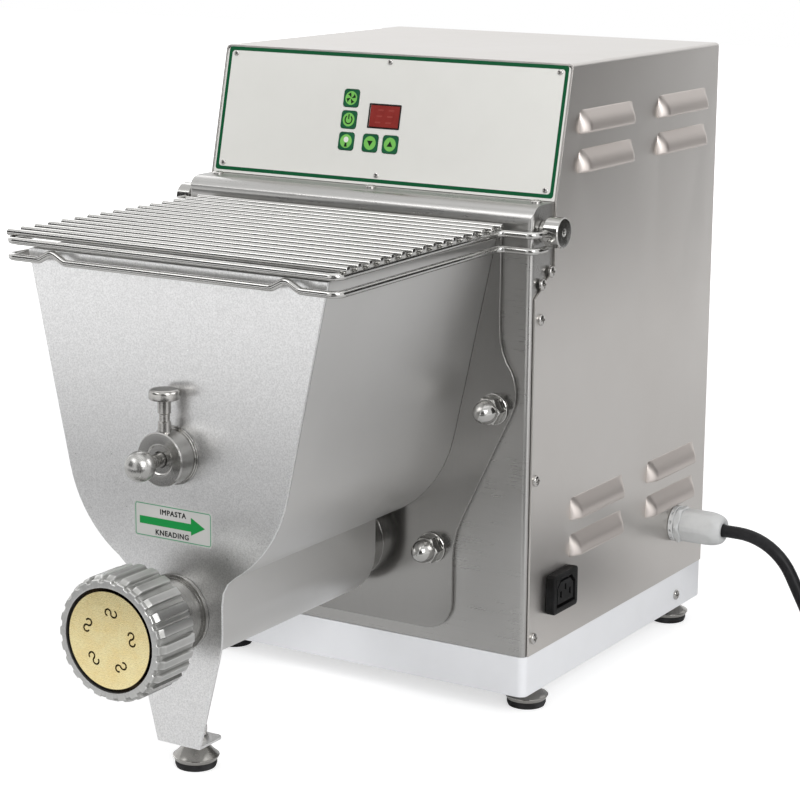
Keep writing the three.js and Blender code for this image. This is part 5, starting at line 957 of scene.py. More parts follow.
@dataclass
class Viewpoint:
    """The photographer's place, fitted to the machine's corners."""

    eye: Point = (941.37, -1469.74, 617.72)
    bearing: float = 31.48
    rise: float = 12.77
    roll: float = 0.45
    lens: float = 108.58
    sensor: float = 36.0
    farthest: float = 30.0

    def build(self) -> None:
        """Places the camera."""
        bearing, rise, roll = (math.radians(a) for a in (self.bearing, self.rise, self.roll))
        back = Vector((math.sin(bearing) * math.cos(rise), -math.cos(bearing) * math.cos(rise), math.sin(rise)))
        right = Vector((math.cos(bearing), math.sin(bearing), 0.0))
        up = back.cross(right)
        tilted = right * math.cos(roll) + up * math.sin(roll)
        raised = up * math.cos(roll) - right * math.sin(roll)
        camera = shown("photograph_view", bpy.data.cameras.new("photograph_view"))
        camera.data.lens = self.lens
        camera.data.sensor_width = self.sensor
        camera.data.clip_end = self.farthest
        turn = Matrix((tilted, raised, back)).transposed().to_4x4()
        camera.matrix_world = Matrix.Translation(placed(self.eye)) @ turn
        bpy.context.scene.camera = camera
        LOG.info("camera at %s", tuple(round(v, 3) for v in camera.location))


@dataclass(frozen=True)
class Card:
    """A grey card beside the machine, which only the steel's mirror image shows."""

    name: str
    place: Point
    target: Point
    width: float
    height: float
    colour: Colour = (0.06, 0.058, 0.055)


@dataclass(frozen=True)
class SoftBox:
    """A square lamp."""

    name: str
    place: Point
    size: float
    power: float


@dataclass
class Studio:
    """A pale floor and a white backdrop under soft boxes, with grey cards for the steel to mirror."""

    floor_half: float = 6.0
    floor_colour: Colour = (0.72, 0.72, 0.72)
    camera_glow: float = 0.58
    mirror_glow: float = 0.15
    far_glow: float = 0.6
    world_colour: Colour = (0.62, 0.62, 0.625)
    world_strength: float = 0.60
    middle: Point = (0.0, 0.0, 0.22)
    boxes: tuple[SoftBox, ...] = (
        SoftBox("key_box", (-1.3, -2.2, 2.0), 1.8, 26.0),
        SoftBox("fill_box", (2.3, -1.6, 1.6), 1.6, 54.0),
        SoftBox("top_box", (0.2, 0.3, 2.6), 2.2, 8.0),
        SoftBox("back_box", (-2.4, 1.3, 1.7), 1.6, 14.0),
    )
    cards: tuple[Card, ...] = (
        Card("back_right_card", (1.15, 0.95, 0.66), (0.15, 0.15, 0.66), 1.3, 1.16, (0.05, 0.048, 0.046)),
        Card("front_left_card", (-0.30, -0.81, 0.01), (-0.30, -0.81, 1.0), 1.0, 0.37, (0.02, 0.02, 0.02)),
        Card("wire_card", (-1.35, -1.95, 1.15), (0.0, -0.1, 1.15), 1.7, 1.6, (0.02, 0.02, 0.02)),
        Card("front_right_card", (0.62, -0.95, 0.01), (0.62, -0.95, 1.0), 0.9, 0.9),
        Card("camera_card", (1.20, -2.00, 0.95), (0.0, 0.0, 0.95), 1.5, 1.9),
    )

    def build(self) -> None:
        """Makes the floor, the surroundings, the lamps and the cards."""
        self._floor()
        self._surroundings()
        for box in self.boxes:
            self._lamp(box)
        for card in self.cards:
            self._card(card)

    def _floor(self) -> None:
        """Makes the floor, whose glow shows only to the camera, to mirrors and through glass."""
        material = bpy.data.materials.new("studio_floor")
        recipe = Recipe(material)
        far = recipe.place().length().above(1.75, 0.85)
        near = recipe.ray("Camera") * self.camera_glow + recipe.mirrored() * self.mirror_glow
        recipe.surface(
            Base_Color=self.floor_colour, Roughness=0.9, Specular_IOR_Level=0.1,
            Emission_Color=near + recipe.seen() * far * self.far_glow, Emission_Strength=1.0,
        )
        self._sheet("studio_floor", self.floor_half, self.floor_half, material)

    @staticmethod
    def _sheet(
        name: str, half_width: float, half_height: float, material: bpy.types.Material
    ) -> bpy.types.Object:
        """Adds a flat piece of the studio.

        Args:
            name: Its name.
            half_width: Half its width, in metres.
            half_height: Half its height, in metres.
            material: Its material.

        Returns:
            The new object.
        """
        mesh = bpy.data.meshes.new(name)
        corners = box_about((0.0, 0.0), half_width, half_height)
        mesh.from_pydata([(x, y, 0.0) for x, y in corners], [], [(0, 1, 2, 3)])
        mesh.materials.append(material)
        made = shown(name, mesh)
        return made

    def _card(self, card: Card) -> None:
        """Stands one card in its place.

        Args:
            card: The card.
        """
        material = bpy.data.materials.new(card.name)
        Recipe(material).surface(Base_Color=card.colour, Roughness=0.95, Specular_IOR_Level=0.1)
        made = self._sheet(card.name, card.width / 2, card.height / 2, material)
        made.location = card.place
        made.rotation_euler = (Vector(card.target) - Vector(card.place)).to_track_quat("Z", "Y").to_euler()
        made.visible_camera = made.visible_diffuse = made.visible_shadow = False

    def _surroundings(self) -> None:
        """Makes the world pale grey as light, and white where the camera, a mirror or glass looks at it."""
        world = bpy.data.worlds.new("studio")
        bpy.context.scene.world = world
        recipe = Recipe(world)
        lit, white = (
            recipe.node("ShaderNodeBackground", {}, {"Color": colour, "Strength": strength})
            for colour, strength in ((self.world_colour, self.world_strength), ((1.0, 1.0, 1.0), 1.0))
        )
        mixed = recipe.node("ShaderNodeMixShader", {}, {0: recipe.seen(), 1: lit, 2: white})
        recipe.end("ShaderNodeOutputWorld", mixed)

    def _lamp(self, box: SoftBox) -> None:
        """Adds one soft box, turned to the machine's middle.

        Args:
            box: The soft box.
        """
        lamp = bpy.data.lights.new(box.name, "AREA")
        lamp.shape = "SQUARE"
        lamp.size = box.size
        lamp.energy = box.power
        holder = shown(box.name, lamp)
        holder.location = box.place
        holder.rotation_euler = (Vector(box.place) - Vector(self.middle)).to_track_quat("Z", "Y").to_euler()


# Sub-assemblies


@dataclass
class MainsCable(SubAssembly):
    """The cable: down from the gland to the surface, a flat coil of the spare length, and the plug."""

    radius: float = 5.0
    wall: float = 150.3
    gland_tip: float = 193.3
    mouth_depth: float = 6.0
    round_below: float = 8.0
    place: float = 249.0
    height: float = 92.0
    top_corner: float = 237.0
    floor_corner: float = 283.5
    bend: float = 52.0
    play: float = 0.3
    coil_x: float = 330.0
    coil_radius: float = 66.0
    pitch: float = 10.8
    layer_turns: int = 2
    climb_turns: float = 0.5
    turning: float = 0.12
    turn_steps: int = 48
    tail_radius: float = 45.0
    tail_sweep: float = 127.0
    tail_straight: float = 12.0
    tail_steps: int = 24
    plug_height: float = 40.1
    notch_places: tuple[int, ...] = (3, 4)
    seal: tuple[Point, ...] = (
        (9.8, 9.8, 0.0), (14.2, 14.2, 0.0), (14.5, 14.5, 0.3), (14.5, 14.5, 1.1), (14.5, 12.6, 1.2),
        (14.5, 12.6, 2.8), (14.5, 14.5, 2.9), (14.5, 14.5, 3.7), (14.2, 14.2, 4.0), (9.8, 9.8, 4.0),
    )

    def route(self) -> list[Vector]:
        """Gives the cable's middle line from the gland to the plug.

        Returns:
            Its points, in the machine's millimetres.
        """
        lead = rounded_route([
            (self.gland_tip - self.mouth_depth + self.play, self.place, self.height),
            (self.top_corner, self.place, self.height),
            (self.floor_corner, self.place, self.radius),
            (self.coil_x - 2 * self.radius, self.place, self.radius),
        ], self.bend, 10)
        return lead + self._coil() + self._tail()

    def _coil(self) -> list[Vector]:
        """Gives the coil: in two turns below, a climb in half a turn, and out two turns above.

        Returns:
            Its points.
        """
        turns = 2 * self.layer_turns + self.climb_turns

        def outward(turn: float) -> float:
            """Gives how many turns out from the innermost one a turn lies, rounded where the coil turns back."""
            return math.hypot(turn - turns / 2, self.turning)

        middle = (self.coil_x, self.place + self.coil_radius)
        points = []
        for turn in (k / self.turn_steps for k in range(int(turns * self.turn_steps) + 1)):
            radius = self.coil_radius + self.pitch * (outward(turn) - outward(0.0))
            climb = min(1.0, max(0.0, (turn - self.layer_turns) / self.climb_turns))
            points.append(Vector((
                *polar(radius, TURN * (turn - 0.25), middle), self.radius + self.pitch * eased(climb)
            )))
        return points

    def _tail(self) -> list[Vector]:
        """Gives the tail: an arc over the coil that climbs to the plug lying on it.

        Returns:
            Its points.
        """
        top = self.radius + self.pitch
        middle = (
            self.coil_x - 2 * self.radius - self.play, self.place + 2 * self.coil_radius - self.tail_radius
        )
        run = self.tail_radius * math.radians(self.tail_sweep)
        total = run + self.tail_straight
        points = []
        for share in (k / self.tail_steps for k in range(self.tail_steps + 1)):
            gone = total * share
            angle = TURN / 4 + min(gone, run) / self.tail_radius
            bend = polar(self.tail_radius, angle, middle)
            spot = polar(max(0.0, gone - run), angle + TURN / 4, bend)
            points.append(Vector((*spot, top + (self.plug_height - top) * eased(share))))
        return points

    def build(self) -> None:
        route = self.route()
        draft = Draft().tube(route, self.radius)
        cable = self.piece("mains_cable", draft, CABLE_SHEATH, "cord_lead", "cord_coil", "cord_tail", smooth=60.0)
        self.finish(BLACK_PLASTIC, "mains_plug")
        self.piece("gland_body", self._gland(), GREY_PLASTIC, "cable_gland", smooth=30.0)

    def _gland(self) -> Draft:
        """Draws the cable gland: a notched seal ring, a hexagon flange and a domed nut with blended flats.

        Returns:
            The gland.
        """
        centre, wall, tip, steps = (0.0, self.place, self.height), self.wall, self.gland_tip, 96
        places = [(k % 8 in self.notch_places, TURN * k / steps) for k in range(steps)]
        gland = Draft().rings([
            [across(Axis.X, *polar(inner if notch else outer, angle), wall + along, centre) for notch, angle in places]
            for outer, inner, along in self.seal
        ], looped=True)
        gland.hex_nut(Axis.X, centre, 15.6, wall + 4.0, wall + 9.0, 6.0)
        start = wall + 9.0
        swell = start + 19.0
        caps = [(0, start), (12.6, start), (13.4, start + 0.5), (13.6, start + 1.2), (13.6, swell)]
        caps += dome(8.4, 5.2, swell, tip, 12)
        mouth = tip - self.mouth_depth
        caps += [(7.6, tip), (6.2, tip - 0.3), (5.4, tip - 1.0), (5.4, mouth), (0, mouth)]
        gland.rings([
            hexagon(Axis.X, centre, 14.6, cap, along, steps) if cap > self.round_below
            else circle(Axis.X, centre, cap, along, steps)
            for cap, along in caps
        ])
        thread = [(0, wall - 8.0), (9.2, wall - 8.0), (9.5, wall - 7.6), (9.5, wall + 0.2), (0, wall + 0.2)]
        return gland.lathe(thread, Axis.X, centre, 48)


@dataclass
class Housing(SubAssembly):
    """Base tray, chassis, cover and back, with the louvres' hoods and the mains outlet."""

    half_width: float = 150.0
    hood_starts: tuple[float, ...] = (65.5, 194.5)
    hood_heights: tuple[float, ...] = (109.8, 138.0, 395.8, 424.0)
    hood_length: float = 83.5
    hood_margin: float = 1.0
    hood_end: float = 9.5
    hood_profile: Profile = (
        (-1.0, 0.0), (-0.9, 1.4), (-0.6, 3.8), (0.0, 6.1), (1.4, 6.6), (3.5, 6.5), (6.0, 6.0), (8.5, 5.0),
        (11.0, 3.5), (13.5, 1.8), (15.3, 0.6), (16.2, 0.0),
    )
    outlet: Place = (48.0, 88.5)
    outlet_half: Place = (19.0, 15.0)
    collar_half: Place = (15.6, 12.1)

    def build(self) -> None:
        """Dresses the housing's sheets."""
        hoods = Draft()
        for start, height in product(self.hood_starts, self.hood_heights):
            hoods.add(self._hood(start, height))
        self.piece("louvre_hoods", hoods.mirrored_too(), LOUVRE_STEEL, smooth=60.0)
        self.piece("outlet_rim", self._outlet_rim(), BLACK_PLASTIC)
        self.skin("base_tray", BASE_PAINT, 0.4)
        for node, finish in (
            ("chassis_front", CHASSIS_STEEL), ("housing_cover", WALL_STEEL), ("back_panel", WALL_STEEL),
            ("power_outlet", BLACK_PLASTIC),
        ):
            self.skin(node, finish, 0.25)
        self.finish(BOARD_LACQUER, "control_board")

    def _hood(self, start: float, height: float) -> Draft:
        """Draws one louvre's pressed hood over the wall.

        Args:
            start: Where it starts along the wall.
            height: The height of its lip.

        Returns:
            The hood.
        """
        run = self.hood_length + 2 * self.hood_margin
        stations = [self.hood_end * k / 8 for k in range(9)]
        stations += [run - station for station in reversed(stations)]
        rings = []
        for along in stations:
            swell = math.sin(TURN / 4 * min(1.0, min(along, run - along) / self.hood_end)) ** 0.7
            section = [(swell * (stand + 0.2) - 0.2, rise) for rise, stand in self.hood_profile]
            section += [(-0.5, self.hood_profile[end][0]) for end in (-1, 0)]
            y = start - self.hood_margin + along
            rings.append([Vector((self.half_width + stand, y, height + rise)) for stand, rise in section])
        return Draft().rings(rings)

    def _outlet_rim(self) -> Draft:
        """Draws the outlet's rim, which fills the step between its flange and its collar.

        Returns:
            The rim.
        """
        wide, high = self.outlet_half
        flange, face = self.half_width + 3.0, self.half_width + 6.9
        return Draft().rim(Axis.X, self.outlet, (
            (*self.collar_half, 1.5, flange - 0.4), (wide, high, 3.0, flange - 0.4), (wide, high, 3.0, face - 0.8),
            (wide - 0.25, high - 0.25, 2.8, face - 0.25), (wide - 0.8, high - 0.8, 2.4, face),
            (*self.collar_half, 1.5, face),
        ))


@dataclass(frozen=True)
class CrossHead:
    """A pan-head screw with a cross slot, drawn as heights over a round plan."""

    radius: float = 4.1
    height: float = 2.4
    slot_half: float = 0.6
    slot_reach: float = 2.4
    slot_depth: float = 1.4
    seat: float = 0.3
    rings: int = 14
    spokes: int = 48

    def _rise(self, x: float, y: float) -> float:
        """Gives the head's height at a place on its plan.

        Args:
            x: The place along the slot's first arm.
            y: The place along its second arm.

        Returns:
            The height.
        """
        out = math.hypot(x, y) / self.radius
        crown = self.height * (0.45 + 0.55 * math.sqrt(max(0.0, 1.0 - out ** 2.4)))
        narrow, wide = sorted((abs(x), abs(y)))
        return crown - self.slot_depth if narrow < self.slot_half and wide < self.slot_reach else crown

    def draft(self) -> Draft:
        """Draws the screw with its axis along Z and its seat at 0.

        Returns:
            The screw.
        """
        loops = [circle(Axis.Z, (0, 0, 0), radius, -self.seat, self.spokes) for radius in (0.0, self.radius)]
        for k in range(self.rings, -1, -1):
            loop = circle(Axis.Z, (0, 0, 0), self.radius * k / self.rings, 0.0, self.spokes)
            loops.append([Vector((p.x, p.y, self._rise(p.x, p.y))) for p in loop])
        return Draft().rings(loops)


@dataclass
class Screws(SubAssembly):
    """The screws: each piece's name, its head, the axis across its wall, the wall's level and the places on it."""

    walls: tuple[tuple[str, CrossHead, Axis, float, Profile], ...] = (
        ("side_screws", CrossHead(), Axis.X, 150.0, (
            (26.4, 329.0), (13.2, 321.6), (12.1, 296.5), (9.5, 179.4), (10.6, 60.6),
        )),
        ("tray_screws", CrossHead(), Axis.X, 149.5, ((256.2, 29.5),)),
        ("back_screws", CrossHead(), Axis.Y, 302.0, (
            (-139.0, 70.0), (139.0, 70.0), (-139.0, 262.0), (139.0, 262.0), (-139.0, 452.0), (139.0, 452.0),
        )),
        ("ledge_screws", CrossHead(4.2, 1.9), Axis.Z, 377.8, ((-138.0, 24.0), (0.0, 24.0), (138.0, 24.0))),
    )

    def build(self) -> None:
        """Makes the screws, one piece for each wall, and the side walls' on both sides."""
        for name, head, axis, level, places in self.walls:
            screws = Draft()
            for place in places:
                seat = across(axis, *place, level, (0, 0, 0))
                screws.add(head.draft().moved(lambda p, axis=axis, seat=seat: across(axis, *p, seat)))
            self.piece(name, screws.mirrored_too() if axis is Axis.X else screws, SCREW_METAL)


@dataclass
class TurnLabel(SubAssembly):
    """The film on the front plate with an arrow for the direction in which the mixer turns."""

    face: float = -219.0
    middle: Place = (-2.25, 177.75)
    half: Place = (32.25, 12.25)
    line: float = 0.7
    inset: float = 0.8
    capital: float = 0.73
    thickness: float = 0.08
    sink: float = 0.2
    corner: float = 2.6
    arrow: Profile = (
        (-30.0, 174.7), (12.8, 174.7), (12.8, 172.0), (24.3, 178.2), (12.8, 184.4), (12.8, 180.0), (-30.0, 180.0),
    )
    words: tuple[tuple[str, str, float, float], ...] = (
        ("upper_word", "IMPASTA", -2.2, 183.0), ("lower_word", "KNEADING", -3.0, 168.4),
    )
    letter_height: float = 3.7
    letter_weight: float = 0.028
    letter_spacing: float = 1.12
    letter_steps: int = 3

    def build(self) -> None:
        """Makes the film, its border, its arrow and its words."""
        wide, high = self.half
        film = rounded(box_about(self.middle, wide, high), self.corner)
        self.piece("arrow_label_film", self._layer(film, 1.0), LABEL_FILM)
        line = Draft().rim(Axis.Y, self.middle, (
            (wide - inset, high - inset, self.corner - inset, self.face - level * self.thickness)
            for inset, level in (
                (self.inset, 0.0), (self.inset, 2.0), (self.inset + self.line, 2.0), (self.inset + self.line, 0.0),
            )
        ))
        self.piece("arrow_label_line", line, LABEL_LINE)
        self.piece("arrow_label_arrow", self._layer(self.arrow, 2.0), ARROW_INK)
        for name, word, middle, foot in self.words:
            self.piece(f"arrow_label_{name}", self._word(word, middle, foot), WORD_INK)

    def _word(self, word: str, middle: float, foot: float) -> Draft:
        """Draws one of the label's function words in capitals.

        Args:
            word: The word.
            middle: The place of its middle across the plate.
            foot: The height of its foot.

        Returns:
            The letters.
        """
        curve = bpy.data.curves.new("label_word", "FONT")
        curve.body = word
        curve.align_x = "CENTER"
        curve.resolution_u = self.letter_steps
        curve.offset = self.letter_weight
        curve.space_character = self.letter_spacing
        holder = bpy.data.objects.new("label_word", curve)
        flat = bpy.data.meshes.new_from_object(holder)
        bpy.data.objects.remove(holder)
        bpy.data.curves.remove(curve)
        work = bmesh.new()
        work.from_mesh(flat)
        bpy.data.meshes.remove(flat)
        bmesh.ops.remove_doubles(work, verts=work.verts, dist=MODEL_SEAM)
        bmesh.ops.dissolve_limit(work, angle_limit=FACE_TURN, verts=work.verts, edges=work.edges)
        bmesh.ops.triangulate(work, faces=work.faces)
        swept = bmesh.ops.extrude_face_region(work, geom=work.faces)["geom"]
        raised = [item for item in swept if isinstance(item, bmesh.types.BMVert)]
        bmesh.ops.translate(work, verts=raised, vec=(0.0, 0.0, 1.0))
        work.verts.index_update()
        scale = self.letter_height / self.capital
        letters = Draft([
            Vector((middle + v.co.x * scale, self.face - (1.0 + v.co.z) * self.thickness, foot + v.co.y * scale))
            for v in work.verts
        ], [tuple(v.index for v in face.verts) for face in work.faces])
        work.free()
        return letters

    def _layer(self, outline: Profile, high: float) -> Draft:
        """Draws one layer of the label, so many thicknesses proud of the plate."""
        return Draft().prism(outline, Axis.Y, self.face - high * self.thickness, self.face + self.sink)


@dataclass
class Feet(SubAssembly):
    """Five levelling feet: a polished cone on a black pad."""

    sides: tuple[tuple[str, float], ...] = (("left", -133.0), ("right", 133.0))
    ends: tuple[tuple[str, float], ...] = (("front", 34.0), ("back", 278.0))
    leg_place: float = -199.0
    tray_bottom: float = 17.7
    leg_bottom: float = 21.0
    sheet: float = 2.0
    rim_radius: float = 16.3
    pad_radius: float = 14.6
    pad_height: float = 5.0

    def build(self) -> None:
        """Makes the cones and the pads."""
        for (end, y), (side, x) in product(self.ends, self.sides):
            self._foot(f"foot_{end}_{side}", f"foot_pad_{end}_{side}", (x, y, 0.0), self.tray_bottom)
        self._foot("leg_foot", "leg_foot_pad", (0.0, self.leg_place, 0.0), self.leg_bottom)

    def _foot(self, node: str, pad_node: str, centre: Point, under: float) -> None:
        """Makes one foot.

        Args:
            node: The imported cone's node.
            pad_node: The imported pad's node.
            centre: The foot's place on the surface.
            under: The height of the underside that it carries.
        """
        low, rim, pad, top = self.pad_height + 0.3, self.rim_radius, self.pad_radius, self.pad_height
        cone = Draft().lathe([
            (0, low), (pad, low), (rim - 0.4, low + 2.2), (rim, low + 2.8), (rim - 0.1, low + 3.2),
            (rim - 0.7, low + 3.4), (6.4, under - 3.2), (5.8, under - 2.6), (6.0, under - 2.3), (6.0, under - 0.3),
            (4.0, under - 0.3), (4.0, under + 11.6), (3.6, under + 12.0), (0, under + 12.0),
        ], Axis.Z, centre, 48)
        nut = under + self.sheet + 0.3
        cone.hex_nut(Axis.Z, centre, 8.7, nut, nut + 6.0, 4.0)
        self.piece(f"{node}_cone", cone, FOOT_METAL, node, smooth=FITTING_TURN)
        form = Draft().lathe([
            (0, 0), (pad - 1.6, 0), (pad - 0.9, 0.3), (pad, 2.5), (pad, top - 0.3), (pad - 0.3, top), (0, top),
        ], Axis.Z, centre, 48)
        self.piece(f"{node}_pad", form, RUBBER, pad_node, smooth=FITTING_TURN)


@dataclass
class WireLid(SubAssembly):
    """The grille over the tub with its guard wire, and the hinge bosses and pins."""

    radius: float = 2.5
    rod_edge: float = 0.5
    front: float = -226.5
    front_half: float = 134.0
    rear_half: float = 127.0
    rear: float = -10.0
    leg: float = 156.0
    leg_end: float = 6.0
    bend: float = 7.0
    frame_height: float = 359.5
    guard_height: float = 348.3
    rod_count: int = 16
    rod_first: float = -220.0
    rod_pitch: float = 13.9
    overhang: float = 4.0
    sink: float = 0.6
    kink: float = 95.0
    kink_half: float = 11.0
    gap: float = 0.3
    hinge: Point = (0.0, 17.0, 359.0)
    boss: Profile = (
        (4.5, 148.5), (7.6, 148.5), (8.0, 148.9), (8.0, 153.0), (10.6, 153.0), (11.0, 153.4), (11.0, 164.2),
        (10.4, 164.9), (10.0, 165.0), (3.3, 165.0), (3.1, 164.9), (3.1, 164.6), (5.9, 164.6), (5.9, 161.0),
        (4.5, 161.0),
    )
    pin: Profile = (
        (0, 139.4), (3.6, 139.4), (4.0, 139.8), (4.0, 161.6), (5.4, 161.6), (5.4, 164.1), (5.1, 164.4), (2.7, 164.4),
        (2.7, 164.7), (2.3, 165.0), (1.4, 165.0), (1.1, 164.5), (0, 164.3),
    )
    nut: Place = (140.9, 145.9)

    def _wire(self, height: float, front: Sequence[Point] = ()) -> Draft:
        """Draws a wire that runs round the tub from the right hinge to the left one.

        Args:
            height: The height of its middle.
            front: Corners of the right half of its front run.

        Returns:
            The wire.
        """
        right = [
            (self.leg, self.leg_end, height), (self.leg, self.rear, height), (self.rear_half, self.rear, height),
            (self.front_half, self.front, height), *front,
        ]
        corners = right + [(-x, y, z) for x, y, z in reversed(right)]
        return Draft().tube(rounded_route(corners, self.bend), self.radius)

    def build(self) -> None:
        """Makes the wires, the rods and the hinges."""
        grille = self._wire(self.frame_height)
        rod_height = self.frame_height + 2 * self.radius - self.sink
        spread = (self.front_half - self.rear_half) / (self.front - self.rear)
        edge = self.rod_edge
        ends = [(0, 0.0), (self.radius - edge, 0.0), (self.radius - edge * 0.3, edge * 0.3), (self.radius, edge)]
        for k in range(self.rod_count):
            y = self.rod_first + k * self.rod_pitch
            reach = self.rear_half + (y - self.rear) * spread + self.overhang
            rod = [(radius, inward - reach) for radius, inward in ends]
            rod += [(radius, reach - inward) for radius, inward in reversed(ends)]
            grille.lathe(rod, Axis.X, (0.0, y, rod_height), 20)
        self.piece("grille_wires", grille, WIRE_METAL, "lid_grille", body="lid", smooth=50.0)
        crest = self.frame_height - 2 * self.radius - self.gap
        kinks = [
            (self.kink + self.kink_half, self.front, self.guard_height), (self.kink, self.front, crest),
            (self.kink - self.kink_half, self.front, self.guard_height),
        ]
        guard = self._wire(self.guard_height, kinks)
        self.piece("guard_wire", guard, WIRE_METAL, "lid_guard_wire", body="lid", smooth=50.0)
        self._hinge(1, "right")
        self._hinge(-1, "left")

    def _hinge(self, side: int, name: str) -> None:
        """Makes one hinge boss and its pin.

        Args:
            side: 1 on the right, -1 on the left.
            name: The side's name.
        """
        boss = Draft().lathe([(radius, along * side) for radius, along in self.boss], Axis.X, self.hinge, 48)
        self.piece(f"hinge_boss_{name}", boss, FITTING_METAL, f"lid_hinge_boss_{name}", body="lid", smooth=FITTING_TURN)
        pin = Draft().lathe([(radius, along * side) for radius, along in self.pin], Axis.X, self.hinge, 36)
        pin.hex_nut(Axis.X, self.hinge, 8.0, *sorted(end * side for end in self.nut), 4.0)
        self.piece(f"hinge_bolt_{name}", pin, FITTING_METAL, f"hinge_pin_{name}", smooth=FITTING_TURN)


@dataclass
class Tub(SubAssembly):
    """The kneading tub, its acorn nuts, and the mixer and auger inside it."""

    studs: tuple[tuple[str, float, float], ...] = (
        ("upper_left", -122.1, 231.2), ("upper_right", 122.1, 231.2),
        ("lower_left", -71.9, 120.7), ("lower_right", 71.9, 120.7),
    )

    def build(self) -> None:
        """Dresses the tub."""
        for node, finish, edge in (
            ("tub_front_plate", PLATE_STEEL, 0.3), ("tub_shell", TUB_STEEL, 0.2), ("tub_rear_plate", SHADED_EAR_STEEL, 0.3),
            ("auger_barrel", SPOUT_METAL, 0.2), ("mixer", MIXER_METAL, 0.5),
        ):
            self.skin(node, finish, edge)
        self.skin("auger", SPOUT_METAL, smooth=FITTING_TURN)
        for name, x, z in self.studs:
            self._acorn(name, (x, 0.0, z))

    def _acorn(self, name: str, centre: Point) -> None:
        """Makes one acorn nut on its washer and stud.

        Args:
            name: The corner's name.
            centre: A point on the stud's axis.
        """
        face, seat, front, tip = -3.6, -5.2, -14.2, -26.1
        nut = Draft().lathe([
            (6.3, face), (11.2, face), (11.5, face - 0.3), (11.5, face - 1.3), (11.2, seat), (6.3, seat),
        ], Axis.Y, centre, 40)
        nut.hex_nut(Axis.Y, centre, 10.6, front, seat, 5.0)
        crown = [(0, front + 0.6), (8.7, front + 0.6), (8.7, front - 0.2)]
        nut.lathe([*crown, *dome(0.0, 8.7, front - 0.2, tip, 10), (0, tip)], Axis.Y, centre, 48)
        nut.lathe([(0, -5.0), (6.0, -5.0), (6.0, 13.5), (5.5, 14.0), (0, 14.0)], Axis.Y, centre, 32)
        self.piece(f"acorn_nut_{name}", nut, FITTING_METAL, f"tub_stud_{name}", smooth=FITTING_TURN)


@dataclass
class Pivot(SubAssembly):
    """Boss on the front plate, the pull-out pin with its ball, and the pin that locks it."""

    back: float = -219.3
    depth: float = 16.8
    lock_place: float = -229.7
    ball_place: float = -256.5
    ball_radius: float = 10.4
    neck: float = 4.4
    ball_steps: int = 24
    lock: Profile = (
        (0, 227.5), (4.0, 227.5), (4.5, 228.0), (4.5, 250.5), (3.6, 251.4), (3.6, 256.0), (4.5, 256.9), (4.5, 265.4),
        (4.9, 266.0), (9.6, 266.0), (10.2, 266.5), (10.3, 267.2), (10.3, 270.6), (10.0, 271.8), (9.0, 272.7),
        (7.4, 273.0), (0, 273.0),
    )

    def build(self) -> None:
        """Makes the three pieces."""
        centre = (0.0, 0.0, MIXER_HEIGHT)
        back, front = self.back, self.back - self.depth
        boss = Draft().lathe([
            (5.7, back), (19.8, back), (20.2, back - 0.4), (20.2, back - 1.3), (19.9, back - 1.6), (18.9, back - 1.6),
            (18.5, back - 2.0), (18.5, front + 0.8), (17.7, front), (11.0, front), (10.3, front + 0.2),
            (9.4, front + 1.1), (5.7, front + 1.1),
        ], Axis.Y, centre, 72)
        self.piece("pivot_hub", boss, PIVOT_METAL, "pivot_boss", smooth=30.0)
        sweep = TURN / 2 - math.asin(self.neck / self.ball_radius)
        angles = [sweep * k / self.ball_steps - TURN / 4 for k in range(1, self.ball_steps + 1)]
        pin = Draft().lathe([
            (0, self.ball_place - self.ball_radius),
            *(polar(self.ball_radius, angle, (0.0, self.ball_place)) for angle in angles),
            (self.neck, -246.0), (4.7, front - 1.2), (5.2, front - 0.2), (5.2, -199.6), (4.7, -199.0), (0, -199.0),
        ], Axis.Y, centre, 48)
        self.piece("ball_pin", pin, BALL_METAL, "pivot_pin", body="mixer_pin")
        lock = Draft().lathe(self.lock, Axis.Z, (0.0, self.lock_place, 0.0), 48)
        self.piece("locking_pin", lock, LOCK_METAL, "lock_pin", body="lock")


